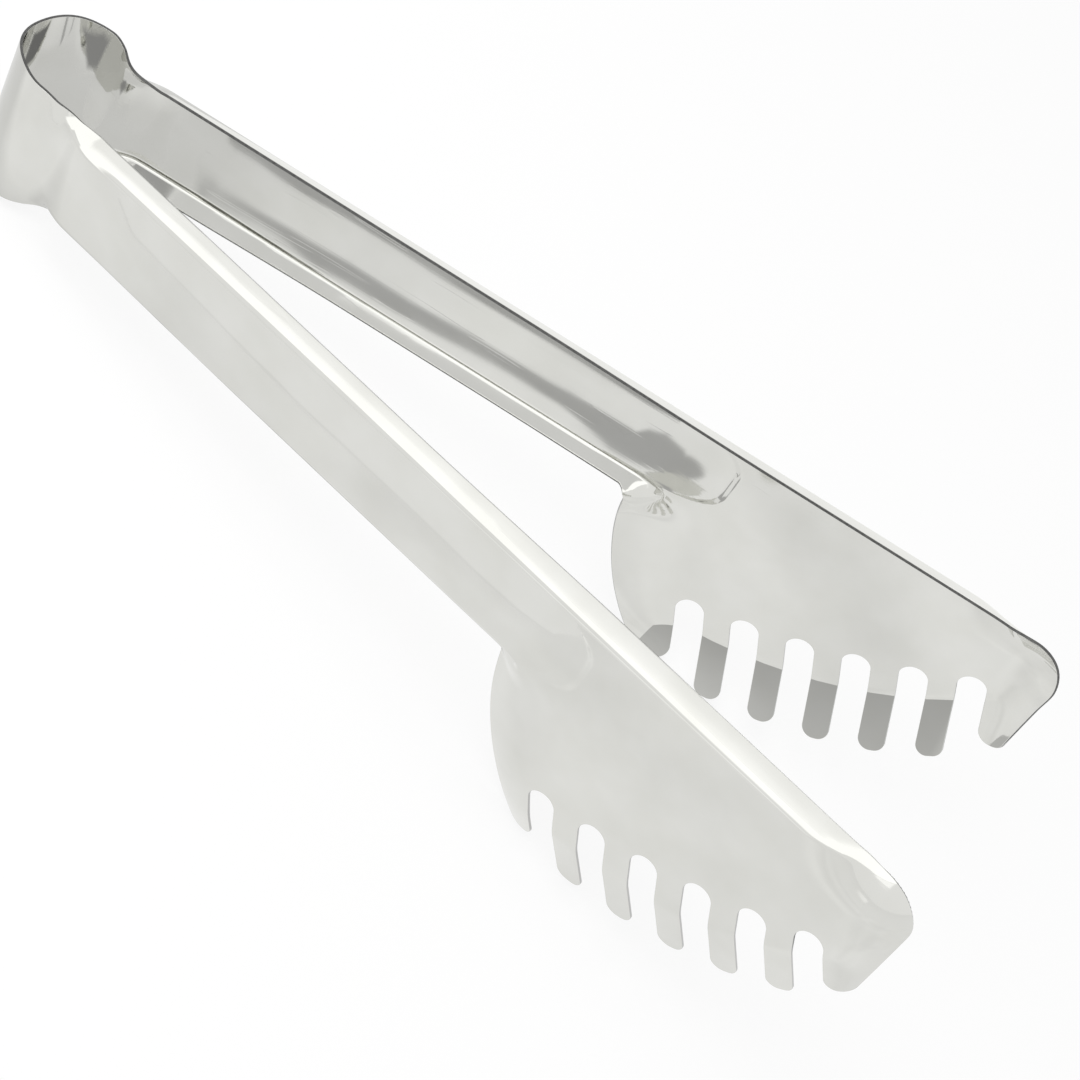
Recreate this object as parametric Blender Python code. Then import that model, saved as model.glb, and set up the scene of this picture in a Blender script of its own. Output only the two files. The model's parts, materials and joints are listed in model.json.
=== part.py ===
"""Pasta tongs pressed from one strip of polished stainless sheet.

The strip is bent into a keyhole-shaped spring bow with two straight arms. Each arm is a shallow
channel with flanges, and ends in a dished comb head with round-topped slots between its teeth.
Each piece is cut flat as a blank, scored with a grid and then pressed to shape by one function.
Blank coordinates: u runs along the strip from the middle of the bow, z runs across it.
On an arm, s is the distance from the line where the two arms' planes cross.
Metres, +Z up. The tongs stand on the first teeth and the lower edge of the bow.
"""
import bpy
import bmesh
import math
import numpy as np

# Sheet
SHEET = 0.0006
SPLIT_GAP = 0.0003

# Keyhole path, seen along the strip's width
LOOP_HALF_WIDTH = 0.01135
LOOP_DEPTH = 0.0112
LOOP_TO_CROSSING = 0.0854
ARM_SPREAD_DEG = 7.6
NECK_LEAVE_DEG = 20.4
NECK_END = 0.1005
NECK_STIFFNESS = 0.0082

# Widths across the strip
BOW_WIDTH_BACK = 0.0295
BOW_WIDTH_QUARTER = 0.0315
BOW_WIDTH_SIDE = 0.0308
TOP_TAPER_START = 0.0855
TOP_TAPER_RUN = 0.0090
BOTTOM_TAPER_START = 0.0835
BOTTOM_TAPER_RUN = 0.0135
WEB_RISE = 0.0103
WEB_DROP = 0.0102
NECK_WEB_DROP = 0.0097
WEB_TAPER_START = 0.1000
WEB_TAPER_RUN = 0.0500

# Flanges
TOP_FLANGE_START = 0.0889
TOP_FLANGE_START_RUN = 0.0107
BOTTOM_FLANGE_START = 0.0895
BOTTOM_FLANGE_START_RUN = 0.0100
FLANGE_FOLD_DEG = 62.0
HEAD_FLANGE_FOLD_DEG = 65.3
FOLD_CHANGE_START = 0.1800
FOLD_CHANGE_RUN = 0.0550
FOLD_RADIUS = 0.0016
NECK_FOLD_RADIUS = 0.0060
NECK_FOLD_START = 0.0900
NECK_FOLD_RUN = 0.0065
TOP_FLANGE_RISE = 0.0020
BOTTOM_FLANGE_DROP = 0.00167
FLANGE_SETTLE_RADIUS = 0.0005
FLANGE_SETTLE_GAP = 0.0005
BOTTOM_FLANGE_FADE_START = 0.2140
BOTTOM_FLANGE_FADE_RUN = 0.0085
TOP_FLANGE_FADE_LEAD = 0.0157
TOP_FLANGE_FADE_RUN = 0.0140

# Shallow trough pressed outwards along the web
TROUGH_DEPTH = 0.0007
TROUGH_HALF_WIDTH = 0.0096
TROUGH_START = 0.0980
TROUGH_START_RUN = 0.0180
TROUGH_END = 0.2310
TROUGH_END_RUN = 0.0040
TROUGH_END_ROUND = 0.0090

# Comb head outline
TIP_CORNER_RADIUS = 0.0098
BACK_EDGE = 0.2141
BACK_ARC_RADIUS = 0.0573
BACK_ARC_DEPTH = 0.0051
BACK_FILLET = 0.0046

# Comb, in a frame turned so that the teeth point straight down it
TOOTH_SLANT_DEG = 22.8
SLOT_COUNT = 6
SLOT_PITCH = 0.0118
SLOT_WIDTH = 0.0061
FIRST_SLOT = 0.2069
SLOT_ARC_TOP = 0.1245
SLOT_ARC_MIDDLE = 0.2325
SLOT_ARC_RADIUS = 0.165
TIP_ARC_TOP = 0.1476
TIP_ARC_MIDDLE = 0.2325
TIP_ARC_RADIUS = 0.082
FIRST_TOOTH_TIP_WIDTH = 0.0037
FIRST_TOOTH_SHORTFALL = 0.0042
LAST_TOOTH_SHORTFALL = 0.0040
LAST_TOOTH_WIDTH = 0.00443
LAST_TOOTH_TIP_RADIUS = 0.0042
TOOTH_END_RADIUS = 0.0026

# How far the head is dished inwards
TOOTH_BEND_LENGTH = 0.0137
TOOTH_BEND_DEG = 15.8
TOOTH_BEND_RADIUS = 0.0012
BACK_DISH_LIFT = 0.0046
BACK_DISH_RUN = 0.0150
BACK_DISH_START = 0.2050
BACK_DISH_START_RUN = 0.0070
FRONT_DISH_LIFT = 0.0044
FRONT_DISH_RUN = 0.0080
CORNER_DISH_LIFT = 0.0042
CORNER_DISH_RUN = 0.0110
CORNER_DISH_LEAD = 0.0267
CORNER_DISH_START_RUN = 0.0180

# Spacing of the grid scored into the flat blanks
HEAD_CELL = 0.0034
ARM_CELL = 0.0110
NECK_CELL = 0.0012
BOW_CELL = 0.0012
ROUND_STEP_DEG = 15.0
ARC_STEP = 0.0030
PATH_STEP = 0.0001
SLOPE_STEP = 0.00001
WELD = 0.000001

# Finish of the polished steel
STEEL_TONE_SHARE = 0.73
STEEL_ROUGHNESS_SHARE = 0.17

# Shares of a whole and counts
PATH_SAMPLES = 300
TILT_TRIES = 60
MOST_TILT_DEG = 45.0
LOOP_POINT_SHARE = 1.1
HALF_SHARE = 0.5
HINGE_RADIUS_SHARE = 0.6366
BLEND_POWER_SHARE = 4.0
WELD_SHARE = 100.0


def rad(degrees):
    return math.radians(degrees)


def smooth(x):
    t = min(max(x, 0.0), 1.0)
    return t * t * (3.0 - 2.0 * t)


SLANT = rad(TOOTH_SLANT_DEG)


def comb_frame(s, z):
    """Position across the teeth and along them for a point of the blank."""
    return s * math.cos(SLANT) + z * math.sin(SLANT), s * math.sin(SLANT) - z * math.cos(SLANT)


def blank_point(across, along):
    """The reverse of comb_frame."""
    return across * math.cos(SLANT) + along * math.sin(SLANT), across * math.sin(SLANT) - along * math.cos(SLANT)


def arc_height(across, middle, top, radius):
    away = min(abs(across - middle), radius)
    return top - radius + math.sqrt(radius * radius - away * away)


def slot_top(across):
    return arc_height(across, SLOT_ARC_MIDDLE, SLOT_ARC_TOP, SLOT_ARC_RADIUS)


def tip_line(across):
    return arc_height(across, TIP_ARC_MIDDLE, TIP_ARC_TOP, TIP_ARC_RADIUS)


LAST_SLOT_SIDE = FIRST_SLOT + (SLOT_COUNT - 1) * SLOT_PITCH + SLOT_WIDTH * HALF_SHARE
LAST_TIP_S, LAST_TIP_Z = blank_point(LAST_SLOT_SIDE, tip_line(LAST_SLOT_SIDE) - LAST_TOOTH_SHORTFALL)
ARM_REACH = LAST_TIP_S + LAST_TOOTH_WIDTH
BACK_ARC_S = BACK_EDGE + BACK_ARC_RADIUS


def keyhole_path():
    """Distances, points and outward normals along the strip on the +Y side, from the bow's middle."""
    spread = rad(ARM_SPREAD_DEG)
    leave = rad(NECK_LEAVE_DEG)
    turn = np.linspace(0.0, math.pi * HALF_SHARE, PATH_SAMPLES)
    back = np.c_[LOOP_TO_CROSSING - LOOP_DEPTH * np.abs(np.cos(turn)) ** LOOP_POINT_SHARE,
                 LOOP_HALF_WIDTH * np.sin(turn) ** LOOP_POINT_SHARE]
    turn = np.linspace(0.0, leave, PATH_SAMPLES)[1:, None]
    front = np.hstack([LOOP_TO_CROSSING + LOOP_HALF_WIDTH * np.sin(turn), LOOP_HALF_WIDTH * np.cos(turn)])
    loop = np.vstack([back, front])
    start = loop[-1]
    start_way = np.array([math.cos(leave), -math.sin(leave)]) * NECK_STIFFNESS
    end = np.array([math.cos(spread), math.sin(spread)]) * NECK_END
    end_way = np.array([math.cos(spread), math.sin(spread)]) * NECK_STIFFNESS
    bezier = [start, start + start_way * HALF_SHARE, end - end_way * HALF_SHARE, end]
    t = np.linspace(0.0, 1.0, PATH_SAMPLES)[1:, None]
    neck = ((1 - t) ** 3 * bezier[0] + 3 * (1 - t) ** 2 * t * bezier[1]
            + 3 * (1 - t) * t ** 2 * bezier[2] + t ** 3 * bezier[3])
    tip = np.array([math.cos(spread), math.sin(spread)]) * (ARM_REACH + SLOT_PITCH)
    points = np.vstack([loop, neck, tip])
    steps = np.hypot(*np.diff(points, axis=0).T)
    along = np.r_[0.0, np.cumsum(steps)]
    even = np.arange(0.0, along[-1], PATH_STEP)
    xs = np.interp(even, along, points[:, 0])
    ys = np.interp(even, along, points[:, 1])
    tx = np.gradient(xs, even)
    ty = np.gradient(ys, even)
    size = np.hypot(tx, ty)
    neck_end_u = along[len(loop) + len(neck) - 1]
    return even, xs, ys, -ty / size, tx / size, along[len(back) - 1], neck_end_u


PATH_U, PATH_X, PATH_Y, NORMAL_X, NORMAL_Y, SPLIT_U, NECK_END_U = keyhole_path()
U_TO_S = NECK_END - NECK_END_U


def fold_height(past_crease, fold, radius):
    """Inward height of a flange at a distance past the crease where its plane would meet the web."""
    over = past_crease + radius * math.tan(fold * HALF_SHARE)
    if over <= 0.0:
        return 0.0
    bend = radius * math.sin(fold)
    if over < bend:
        return radius - math.sqrt(radius * radius - over * over)
    return radius * (1.0 - math.cos(fold)) + (over - bend) * math.tan(fold)


def web_drop(s):
    """How far below the strip's middle the lower crease runs."""
    return NECK_WEB_DROP + (WEB_DROP - NECK_WEB_DROP) * smooth((s - WEB_TAPER_START) / WEB_TAPER_RUN)


def settled(depth):
    """A depth below the strip's middle, held from just past the lower flange's edge so that it runs level there."""
    end = WEB_DROP + BOTTOM_FLANGE_DROP + FLANGE_SETTLE_GAP
    left = end + FLANGE_SETTLE_RADIUS - depth
    if left >= 2.0 * FLANGE_SETTLE_RADIUS:
        return depth
    return end - max(left, 0.0) ** 2 / (4.0 * FLANGE_SETTLE_RADIUS)


def corner_lift(s, z):
    """How far the rounded tip corner is dished, measured in from its own edge."""
    top = WEB_RISE + TOP_FLANGE_RISE
    away_s = max(0.0, s - (ARM_REACH - TIP_CORNER_RADIUS))
    away_z = max(0.0, z - (top - TIP_CORNER_RADIUS))
    inside = TIP_CORNER_RADIUS - math.hypot(away_s, away_z)
    if away_s <= 0.0 and away_z <= 0.0:
        inside = min(ARM_REACH - s, top - z)
    along_top = smooth((s - ARM_REACH + CORNER_DISH_LEAD) / CORNER_DISH_START_RUN)
    down_front = 1.0 - smooth((top - TIP_CORNER_RADIUS - z) / CORNER_DISH_RUN)
    inner = max(0.0, 1.0 - max(inside, 0.0) / CORNER_DISH_RUN)
    return CORNER_DISH_LIFT * along_top * down_front * inner * inner


def inward_height(s, z):
    """How far the pressed sheet stands inwards of the arm's plane, from 0 at the flat web."""
    change = smooth((s - FOLD_CHANGE_START) / FOLD_CHANGE_RUN)
    fold = rad(FLANGE_FOLD_DEG + (HEAD_FLANGE_FOLD_DEG - FLANGE_FOLD_DEG) * change)
    crisp = smooth((s - NECK_FOLD_START) / NECK_FOLD_RUN)
    radius = NECK_FOLD_RADIUS + (FOLD_RADIUS - NECK_FOLD_RADIUS) * crisp
    top_start = smooth((s - TOP_FLANGE_START) / TOP_FLANGE_START_RUN)
    low_start = smooth((s - BOTTOM_FLANGE_START) / BOTTOM_FLANGE_START_RUN)
    top_fade = 1.0 - smooth((s - ARM_REACH + TOP_FLANGE_FADE_LEAD) / TOP_FLANGE_FADE_RUN)
    low_fade = 1.0 - smooth((s - BOTTOM_FLANGE_FADE_START) / BOTTOM_FLANGE_FADE_RUN)
    low = fold_height(settled(-z) - web_drop(s), fold, radius)
    parts = [top_start * top_fade * fold_height(z - WEB_RISE, fold, radius), low_start * low_fade * low]
    across, along = comb_frame(s, z)
    past = along - (tip_line(across) - TOOTH_BEND_LENGTH) if s > BACK_DISH_START else -TOOTH_BEND_RADIUS
    if past > TOOTH_BEND_RADIUS:
        parts.append(past * math.tan(rad(TOOTH_BEND_DEG)))
    elif past > -TOOTH_BEND_RADIUS:
        ease = past + TOOTH_BEND_RADIUS
        parts.append(ease * ease / (4.0 * TOOTH_BEND_RADIUS) * math.tan(rad(TOOTH_BEND_DEG)))
    from_back = BACK_ARC_RADIUS - math.hypot(s - BACK_ARC_S, z + BACK_ARC_DEPTH)
    if z < -BACK_ARC_DEPTH and s < BACK_ARC_S:
        near = smooth((-z - WEB_DROP) / BACK_DISH_START_RUN)
        near *= smooth((s - BACK_DISH_START) / BACK_DISH_START_RUN)
        inner = max(0.0, 1.0 - max(from_back, 0.0) / BACK_DISH_RUN)
        parts.append(near * BACK_DISH_LIFT * inner * inner)
    inner = max(0.0, 1.0 - (ARM_REACH - s) / FRONT_DISH_RUN)
    parts.append(FRONT_DISH_LIFT * min(inner, 1.0) ** 2)
    parts.append(corner_lift(s, z))
    scale = max(parts)
    if scale <= 0.0:
        raised = 0.0
    else:
        raised = scale * sum((part / scale) ** BLEND_POWER_SHARE for part in parts) ** (1.0 / BLEND_POWER_SHARE)
    rim = max(0.0, 1.0 - (z / TROUGH_HALF_WIDTH) ** 2)
    end_s = TROUGH_END - TROUGH_END_ROUND * (z / TROUGH_HALF_WIDTH) ** 4
    begin = smooth((s - TROUGH_START) / TROUGH_START_RUN)
    finish = 1.0 - smooth((s - end_s) / TROUGH_END_RUN)
    return raised - TROUGH_DEPTH * rim * begin * finish


def middle_surface(u, z, side):
    """A point of the sheet's middle surface for a place on the blank."""
    x = np.interp(u, PATH_U, PATH_X)
    y = np.interp(u, PATH_U, PATH_Y)
    nx = np.interp(u, PATH_U, NORMAL_X)
    ny = np.interp(u, PATH_U, NORMAL_Y)
    inward = inward_height(u + U_TO_S, z) if u > SPLIT_U else 0.0
    return np.array([x - nx * inward, side * (y - ny * inward), z])


def pressed_point(u, z, off, side):
    """Where a point of the flat blank ends up; off is its distance outwards from mid-sheet."""
    if u < 0.0:
        return pressed_point(-u, z, off, -side)
    centre = middle_surface(u, z, side)
    ahead = middle_surface(u + SLOPE_STEP, z, side) - middle_surface(max(u - SLOPE_STEP, 0.0), z, side)
    above = middle_surface(u, z + SLOPE_STEP, side) - middle_surface(u, z - SLOPE_STEP, side)
    normal = np.cross(above, ahead) * -side
    return centre + normal / np.linalg.norm(normal) * off


def bow_half_width(u):
    """How far the edge is from the strip's middle around the bow."""
    turn = math.pi * HALF_SHARE * min(u / SPLIT_U, 1.0)
    even = BOW_WIDTH_BACK + (BOW_WIDTH_SIDE - BOW_WIDTH_BACK) * math.sin(turn) ** 2
    swell = BOW_WIDTH_QUARTER - (BOW_WIDTH_BACK + BOW_WIDTH_SIDE) * HALF_SHARE
    return (even + swell * math.sin(2.0 * turn) ** 2) * HALF_SHARE


def edge_top(u):
    """Height of the blank's upper edge, as it stands after pressing."""
    share = smooth((u + U_TO_S - TOP_TAPER_START) / TOP_TAPER_RUN)
    return bow_half_width(u) * (1.0 - share) + (WEB_RISE + TOP_FLANGE_RISE) * share


def edge_bottom(u):
    """Height of the blank's lower edge up to the head, as it stands after pressing."""
    share = smooth((u + U_TO_S - BOTTOM_TAPER_START) / BOTTOM_TAPER_RUN)
    return -bow_half_width(u) * (1.0 - share) - (WEB_DROP + BOTTOM_FLANGE_DROP) * share


def round_corner(before, corner, after, radius):
    """Points of an arc that rounds the corner of two straight edges."""
    corner = np.array(corner, float)
    one = np.array(before, float) - corner
    two = np.array(after, float) - corner
    reach = min(np.linalg.norm(one), np.linalg.norm(two))
    one /= np.linalg.norm(one)
    two /= np.linalg.norm(two)
    half = math.acos(max(-1.0, min(1.0, float(one @ two)))) * HALF_SHARE
    radius = min(radius, reach * HALF_SHARE * math.tan(half))
    middle = corner + (one + two) / np.linalg.norm(one + two) * radius / math.sin(half)
    start = corner + one * radius / math.tan(half) - middle
    end = corner + two * radius / math.tan(half) - middle
    a = math.atan2(start[1], start[0])
    b = math.atan2(end[1], end[0])
    sweep = (b - a + math.pi) % (2.0 * math.pi) - math.pi
    count = max(2, math.ceil(abs(sweep) / rad(ROUND_STEP_DEG)))
    angles = [a + sweep * i / count for i in range(count + 1)]
    return [(middle[0] + radius * math.cos(t), middle[1] + radius * math.sin(t)) for t in angles]


def head_outline():
    """The comb head from the back edge round the teeth to the end of the top flange, as (s, z)."""
    points = []
    low = -(WEB_DROP + BOTTOM_FLANGE_DROP)
    drop = BACK_ARC_DEPTH + low
    top_s = BACK_ARC_S - math.sqrt(BACK_ARC_RADIUS ** 2 - drop ** 2)
    below = low - BACK_FILLET
    turn_s = BACK_ARC_S - math.sqrt(BACK_ARC_RADIUS ** 2 - (BACK_ARC_DEPTH + below) ** 2)
    points += round_corner((top_s - BACK_FILLET, low), (top_s, low), (turn_s, below), BACK_FILLET)
    half = SLOT_WIDTH * HALF_SHARE
    first_side = FIRST_SLOT - half
    tip_along = tip_line(first_side - FIRST_TOOTH_TIP_WIDTH * HALF_SHARE) - FIRST_TOOTH_SHORTFALL
    end_s, end_z = blank_point(first_side - FIRST_TOOTH_TIP_WIDTH, tip_along)
    start_angle = math.atan2(points[-1][1] + BACK_ARC_DEPTH, points[-1][0] - BACK_ARC_S)
    end_angle = math.atan2(end_z + BACK_ARC_DEPTH, end_s - BACK_ARC_S)
    sweep = (end_angle - start_angle) % (2.0 * math.pi)
    count = max(3, math.ceil(sweep * BACK_ARC_RADIUS / ARC_STEP))
    back = [(BACK_ARC_S + BACK_ARC_RADIUS * math.cos(start_angle + sweep * i / count),
             -BACK_ARC_DEPTH + BACK_ARC_RADIUS * math.sin(start_angle + sweep * i / count))
            for i in range(1, count + 1)]
    points += back[:-1]
    corner_a = back[-1]
    corner_b = blank_point(first_side, tip_along)
    inner = blank_point(first_side, slot_top(FIRST_SLOT) + half)
    points += round_corner(back[-2], corner_a, corner_b, TOOTH_END_RADIUS)
    points += round_corner(corner_a, corner_b, inner, TOOTH_END_RADIUS)
    for index in range(SLOT_COUNT):
        middle = FIRST_SLOT + index * SLOT_PITCH
        centre = slot_top(middle) + half
        steps = math.ceil(180.0 / ROUND_STEP_DEG)
        for i in range(steps + 1):
            angle = math.pi * i / steps
            points.append(blank_point(middle - half * math.cos(angle), centre - half * math.sin(angle)))
        if index < SLOT_COUNT - 1:
            left = middle + half
            right = middle + SLOT_PITCH - half
            a = blank_point(left, centre)
            b = blank_point(left, tip_line(left))
            c = blank_point(right, tip_line(right))
            d = blank_point(right, slot_top(middle + SLOT_PITCH) + half)
            points += round_corner(a, b, c, TOOTH_END_RADIUS)
            points += round_corner(b, c, d, TOOTH_END_RADIUS)
    tip = (LAST_TIP_S, LAST_TIP_Z)
    front = (ARM_REACH, LAST_TIP_Z + LAST_TOOTH_WIDTH * math.tan(SLANT))
    upper = blank_point(LAST_SLOT_SIDE, slot_top(LAST_SLOT_SIDE) + half)
    top = WEB_RISE + TOP_FLANGE_RISE
    crown = (ARM_REACH, top)
    points += round_corner(upper, tip, front, LAST_TOOTH_TIP_RADIUS)
    points += round_corner(tip, front, crown, LAST_TOOTH_TIP_RADIUS)
    points += round_corner(front, crown, (ARM_REACH - ARM_CELL, top), TIP_CORNER_RADIUS)
    return points


def cleaned(points):
    """Drop points that fall on top of the one before."""
    kept = []
    for point in points:
        if not kept or math.dist(point, kept[-1]) > WELD * WELD_SHARE:
            kept.append(point)
    while len(kept) > 1 and math.dist(kept[0], kept[-1]) <= WELD * WELD_SHARE:
        kept.pop()
    return kept


def arm_outline():
    first = SPLIT_U + SPLIT_GAP * HALF_SHARE
    neck_stop = max(TOP_TAPER_START + TOP_TAPER_RUN, BOTTOM_TAPER_START + BOTTOM_TAPER_RUN) - U_TO_S
    count = max(4, math.ceil((neck_stop - first) / NECK_CELL))
    stations = [first + (neck_stop - first) * i / count for i in range(count + 1)]
    lower = [(u, edge_bottom(u)) for u in stations]
    upper = [(u, edge_top(u)) for u in reversed(stations)]
    head = [(s - U_TO_S, z) for s, z in head_outline()]
    return cleaned(lower + head + upper)


def bow_outline():
    end = SPLIT_U - SPLIT_GAP * HALF_SHARE
    stations = spaced(-end, end, BOW_CELL)
    lower = [(u, edge_bottom(abs(u))) for u in stations]
    upper = [(u, edge_top(abs(u))) for u in reversed(stations)]
    return cleaned(lower + upper)


def cut_blank(name, outline):
    """A flat blank of the sheet's thickness, cut from a filled curve."""
    curve = bpy.data.curves.new(name + "_cut", "CURVE")
    curve.dimensions = "2D"
    curve.fill_mode = "BOTH"
    curve.extrude = SHEET * HALF_SHARE
    spline = curve.splines.new("POLY")
    spline.points.add(len(outline) - 1)
    for point, (u, z) in zip(spline.points, outline):
        point.co = (u, z, 0.0, 1.0)
    spline.use_cyclic_u = True
    holder = bpy.data.objects.new(name + "_cut", curve)
    bpy.context.scene.collection.objects.link(holder)
    depsgraph = bpy.context.evaluated_depsgraph_get()
    mesh = bpy.data.meshes.new_from_object(holder.evaluated_get(depsgraph))
    bpy.data.objects.remove(holder)
    bpy.data.curves.remove(curve)
    shape = bmesh.new()
    shape.from_mesh(mesh)
    bpy.data.meshes.remove(mesh)
    bmesh.ops.remove_doubles(shape, verts=shape.verts, dist=WELD)
    flat = [edge for edge in shape.edges if len(edge.link_faces) == 2
            and all(abs(face.normal.z) > HALF_SHARE for face in edge.link_faces)]
    bmesh.ops.dissolve_edges(shape, edges=flat, use_verts=False, use_face_split=False)
    return shape


def score(shape, place, way, faces=None):
    """Score the blank along a straight line."""
    chosen = list(shape.faces) if faces is None else faces
    edges = {edge for face in chosen for edge in face.edges}
    verts = {vert for face in chosen for vert in face.verts}
    bmesh.ops.bisect_plane(shape, geom=chosen + list(edges) + list(verts), dist=WELD,
                           plane_co=(place[0], place[1], 0.0), plane_no=(way[0], way[1], 0.0))


def spaced(start, stop, step):
    count = max(1, math.ceil((stop - start) / step))
    return [start + (stop - start) * i / count for i in range(count + 1)]


def score_lines(shape, us, zs):
    for u in us:
        score(shape, (u, 0.0), (1.0, 0.0))
    for z in zs:
        score(shape, (0.0, z), (0.0, 1.0))


def score_arm(shape):
    lead = FOLD_RADIUS * math.tan(rad(FLANGE_FOLD_DEG) * HALF_SHARE)
    bend = FOLD_RADIUS * math.sin(rad(FLANGE_FOLD_DEG))
    fold = [-lead, bend * HALF_SHARE - lead, bend - lead]
    first = SPLIT_U + SPLIT_GAP * HALF_SHARE
    neck_stop = NECK_END - U_TO_S
    stations = spaced(first, neck_stop, NECK_CELL)[1:]
    stations += spaced(neck_stop, TROUGH_START + TROUGH_START_RUN - U_TO_S, ARM_CELL * HALF_SHARE)[1:]
    stations += spaced(TROUGH_START + TROUGH_START_RUN - U_TO_S, BOTTOM_FLANGE_FADE_START - U_TO_S, ARM_CELL)[1:]
    stations += spaced(BOTTOM_FLANGE_FADE_START - U_TO_S, ARM_REACH - U_TO_S, HEAD_CELL)[1:-1]
    levels = [WEB_RISE + z for z in fold] + [-WEB_DROP - z for z in fold]
    levels += spaced(-TROUGH_HALF_WIDTH * HALF_SHARE, TROUGH_HALF_WIDTH * HALF_SHARE, ARM_CELL * HALF_SHARE)
    lowest = min(vert.co.y for vert in shape.verts)
    levels += spaced(lowest, -(WEB_DROP + BOTTOM_FLANGE_DROP), HEAD_CELL)[1:]
    score_lines(shape, stations, levels)
    soft = NECK_FOLD_RADIUS * math.tan(rad(FLANGE_FOLD_DEG) * HALF_SHARE)
    for z in (WEB_RISE - soft, soft - WEB_DROP):
        neck = [face for face in shape.faces if face.calc_center_median().x < neck_stop]
        score(shape, (0.0, z), (0.0, 1.0), neck)
    half = SLOT_WIDTH * HALF_SHARE
    for index in range(SLOT_COUNT - 1):
        left = FIRST_SLOT + index * SLOT_PITCH + half
        right = left + SLOT_PITCH - SLOT_WIDTH
        middle = (left + right) * HALF_SHARE
        bend_line = tip_line(middle) - TOOTH_BEND_LENGTH
        for along in (bend_line - TOOTH_BEND_RADIUS, bend_line + TOOTH_BEND_RADIUS):
            place = blank_point(middle, along)
            chosen = []
            for face in shape.faces:
                centre = face.calc_center_median()
                across, down = comb_frame(centre.x + U_TO_S, centre.y)
                if left - WELD < across < right + WELD and down > slot_top(middle) + half:
                    chosen.append(face)
            way = (math.sin(SLANT), -math.cos(SLANT))
            score(shape, (place[0] - U_TO_S, place[1]), way, chosen)


def score_bow(shape):
    end = SPLIT_U - SPLIT_GAP * HALF_SHARE
    stations = spaced(-end, end, BOW_CELL)[1:-1]
    score_lines(shape, stations, [0.0])


def press(shape, side):
    """Move every point of the flat blank to its place on the pressed piece."""
    for vert in shape.verts:
        vert.co = pressed_point(vert.co.x, vert.co.y, vert.co.z, side)


def stand_up(shapes):
    """Tilt the tongs onto the first teeth and the bow's lower edge, and centre them on the floor."""
    coords = {name: np.array([vert.co[:] for vert in shape.verts]) for name, shape in shapes.items()}
    everything = np.vstack(list(coords.values()))
    middle_x = LOOP_TO_CROSSING + SLOT_PITCH
    low, high = 0.0, rad(MOST_TILT_DEG)
    for _ in range(TILT_TRIES):
        tilt = (low + high) * HALF_SHARE
        height = everything[:, 0] * math.sin(tilt) + everything[:, 2] * math.cos(tilt)
        rear = height[everything[:, 0] < middle_x].min()
        front = height[everything[:, 0] > middle_x].min()
        if front < rear:
            low = tilt
        else:
            high = tilt
    tilt = (low + high) * HALF_SHARE
    turn = np.array([[math.cos(tilt), 0.0, -math.sin(tilt)], [0.0, 1.0, 0.0], [math.sin(tilt), 0.0, math.cos(tilt)]])
    placed = everything @ turn.T
    shift = -np.array([(placed[:, 0].min() + placed[:, 0].max()) * HALF_SHARE, 0.0, placed[:, 2].min()])
    return turn, shift


def steel(name):
    material = bpy.data.materials.new(name)
    material.use_nodes = True
    shader = material.node_tree.nodes["Principled BSDF"]
    tone = (STEEL_TONE_SHARE, STEEL_TONE_SHARE, STEEL_TONE_SHARE, 1.0)
    shader.inputs["Base Color"].default_value = tone
    shader.inputs["Metallic"].default_value = 1.0
    shader.inputs["Roughness"].default_value = STEEL_ROUGHNESS_SHARE
    material.diffuse_color = tone
    return material


def finish(shape, name, home, turn, shift, pivot):
    """Turn a pressed blank into a named object whose origin is its hinge point."""
    origin = turn @ np.array(pivot) + shift
    for vert in shape.verts:
        vert.co = turn @ np.array(vert.co[:]) + shift - origin
    shape.normal_update()
    bmesh.ops.recalc_face_normals(shape, faces=shape.faces)
    bmesh.ops.triangulate(shape, faces=shape.faces, quad_method="BEAUTY", ngon_method="BEAUTY")
    mesh = bpy.data.meshes.new(name)
    shape.to_mesh(mesh)
    shape.free()
    mesh.materials.append(steel(name + "_steel"))
    piece = bpy.data.objects.new(name, mesh)
    piece.location = origin
    home.objects.link(piece)
    return piece


def main():
    for old in list(bpy.data.objects):
        bpy.data.objects.remove(old)
    home = bpy.data.collections.new("pasta_tongs")
    bpy.context.scene.collection.children.link(home)
    shapes = {}
    shapes["spring_bow"] = cut_blank("spring_bow", bow_outline())
    score_bow(shapes["spring_bow"])
    press(shapes["spring_bow"], 1.0)
    for name, side in (("near_arm", -1.0), ("far_arm", 1.0)):
        shapes[name] = cut_blank(name, arm_outline())
        score_arm(shapes[name])
        press(shapes[name], side)
    turn, shift = stand_up(shapes)
    pivot_y = LOOP_HALF_WIDTH * HINGE_RADIUS_SHARE
    finish(shapes["spring_bow"], "spring_bow", home, turn, shift, (LOOP_TO_CROSSING, 0.0, 0.0))
    finish(shapes["near_arm"], "near_arm", home, turn, shift, (LOOP_TO_CROSSING, -pivot_y, 0.0))
    finish(shapes["far_arm"], "far_arm", home, turn, shift, (LOOP_TO_CROSSING, pivot_y, 0.0))


main()
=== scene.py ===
"""The looks of the pasta tongs: one strip of polished stainless sheet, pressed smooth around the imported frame.

Each half of the strip is cut flat, gets its sheared edge rounded and its grid scored, and is then pressed.
Blank coordinates: u runs along the strip from the middle of the bow, z runs across it.
On an arm, s is the distance from the line where the two arms' planes cross.
"""
import bpy
import bmesh
import json
import math
import numpy as np
from mathutils import Matrix, Vector


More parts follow.
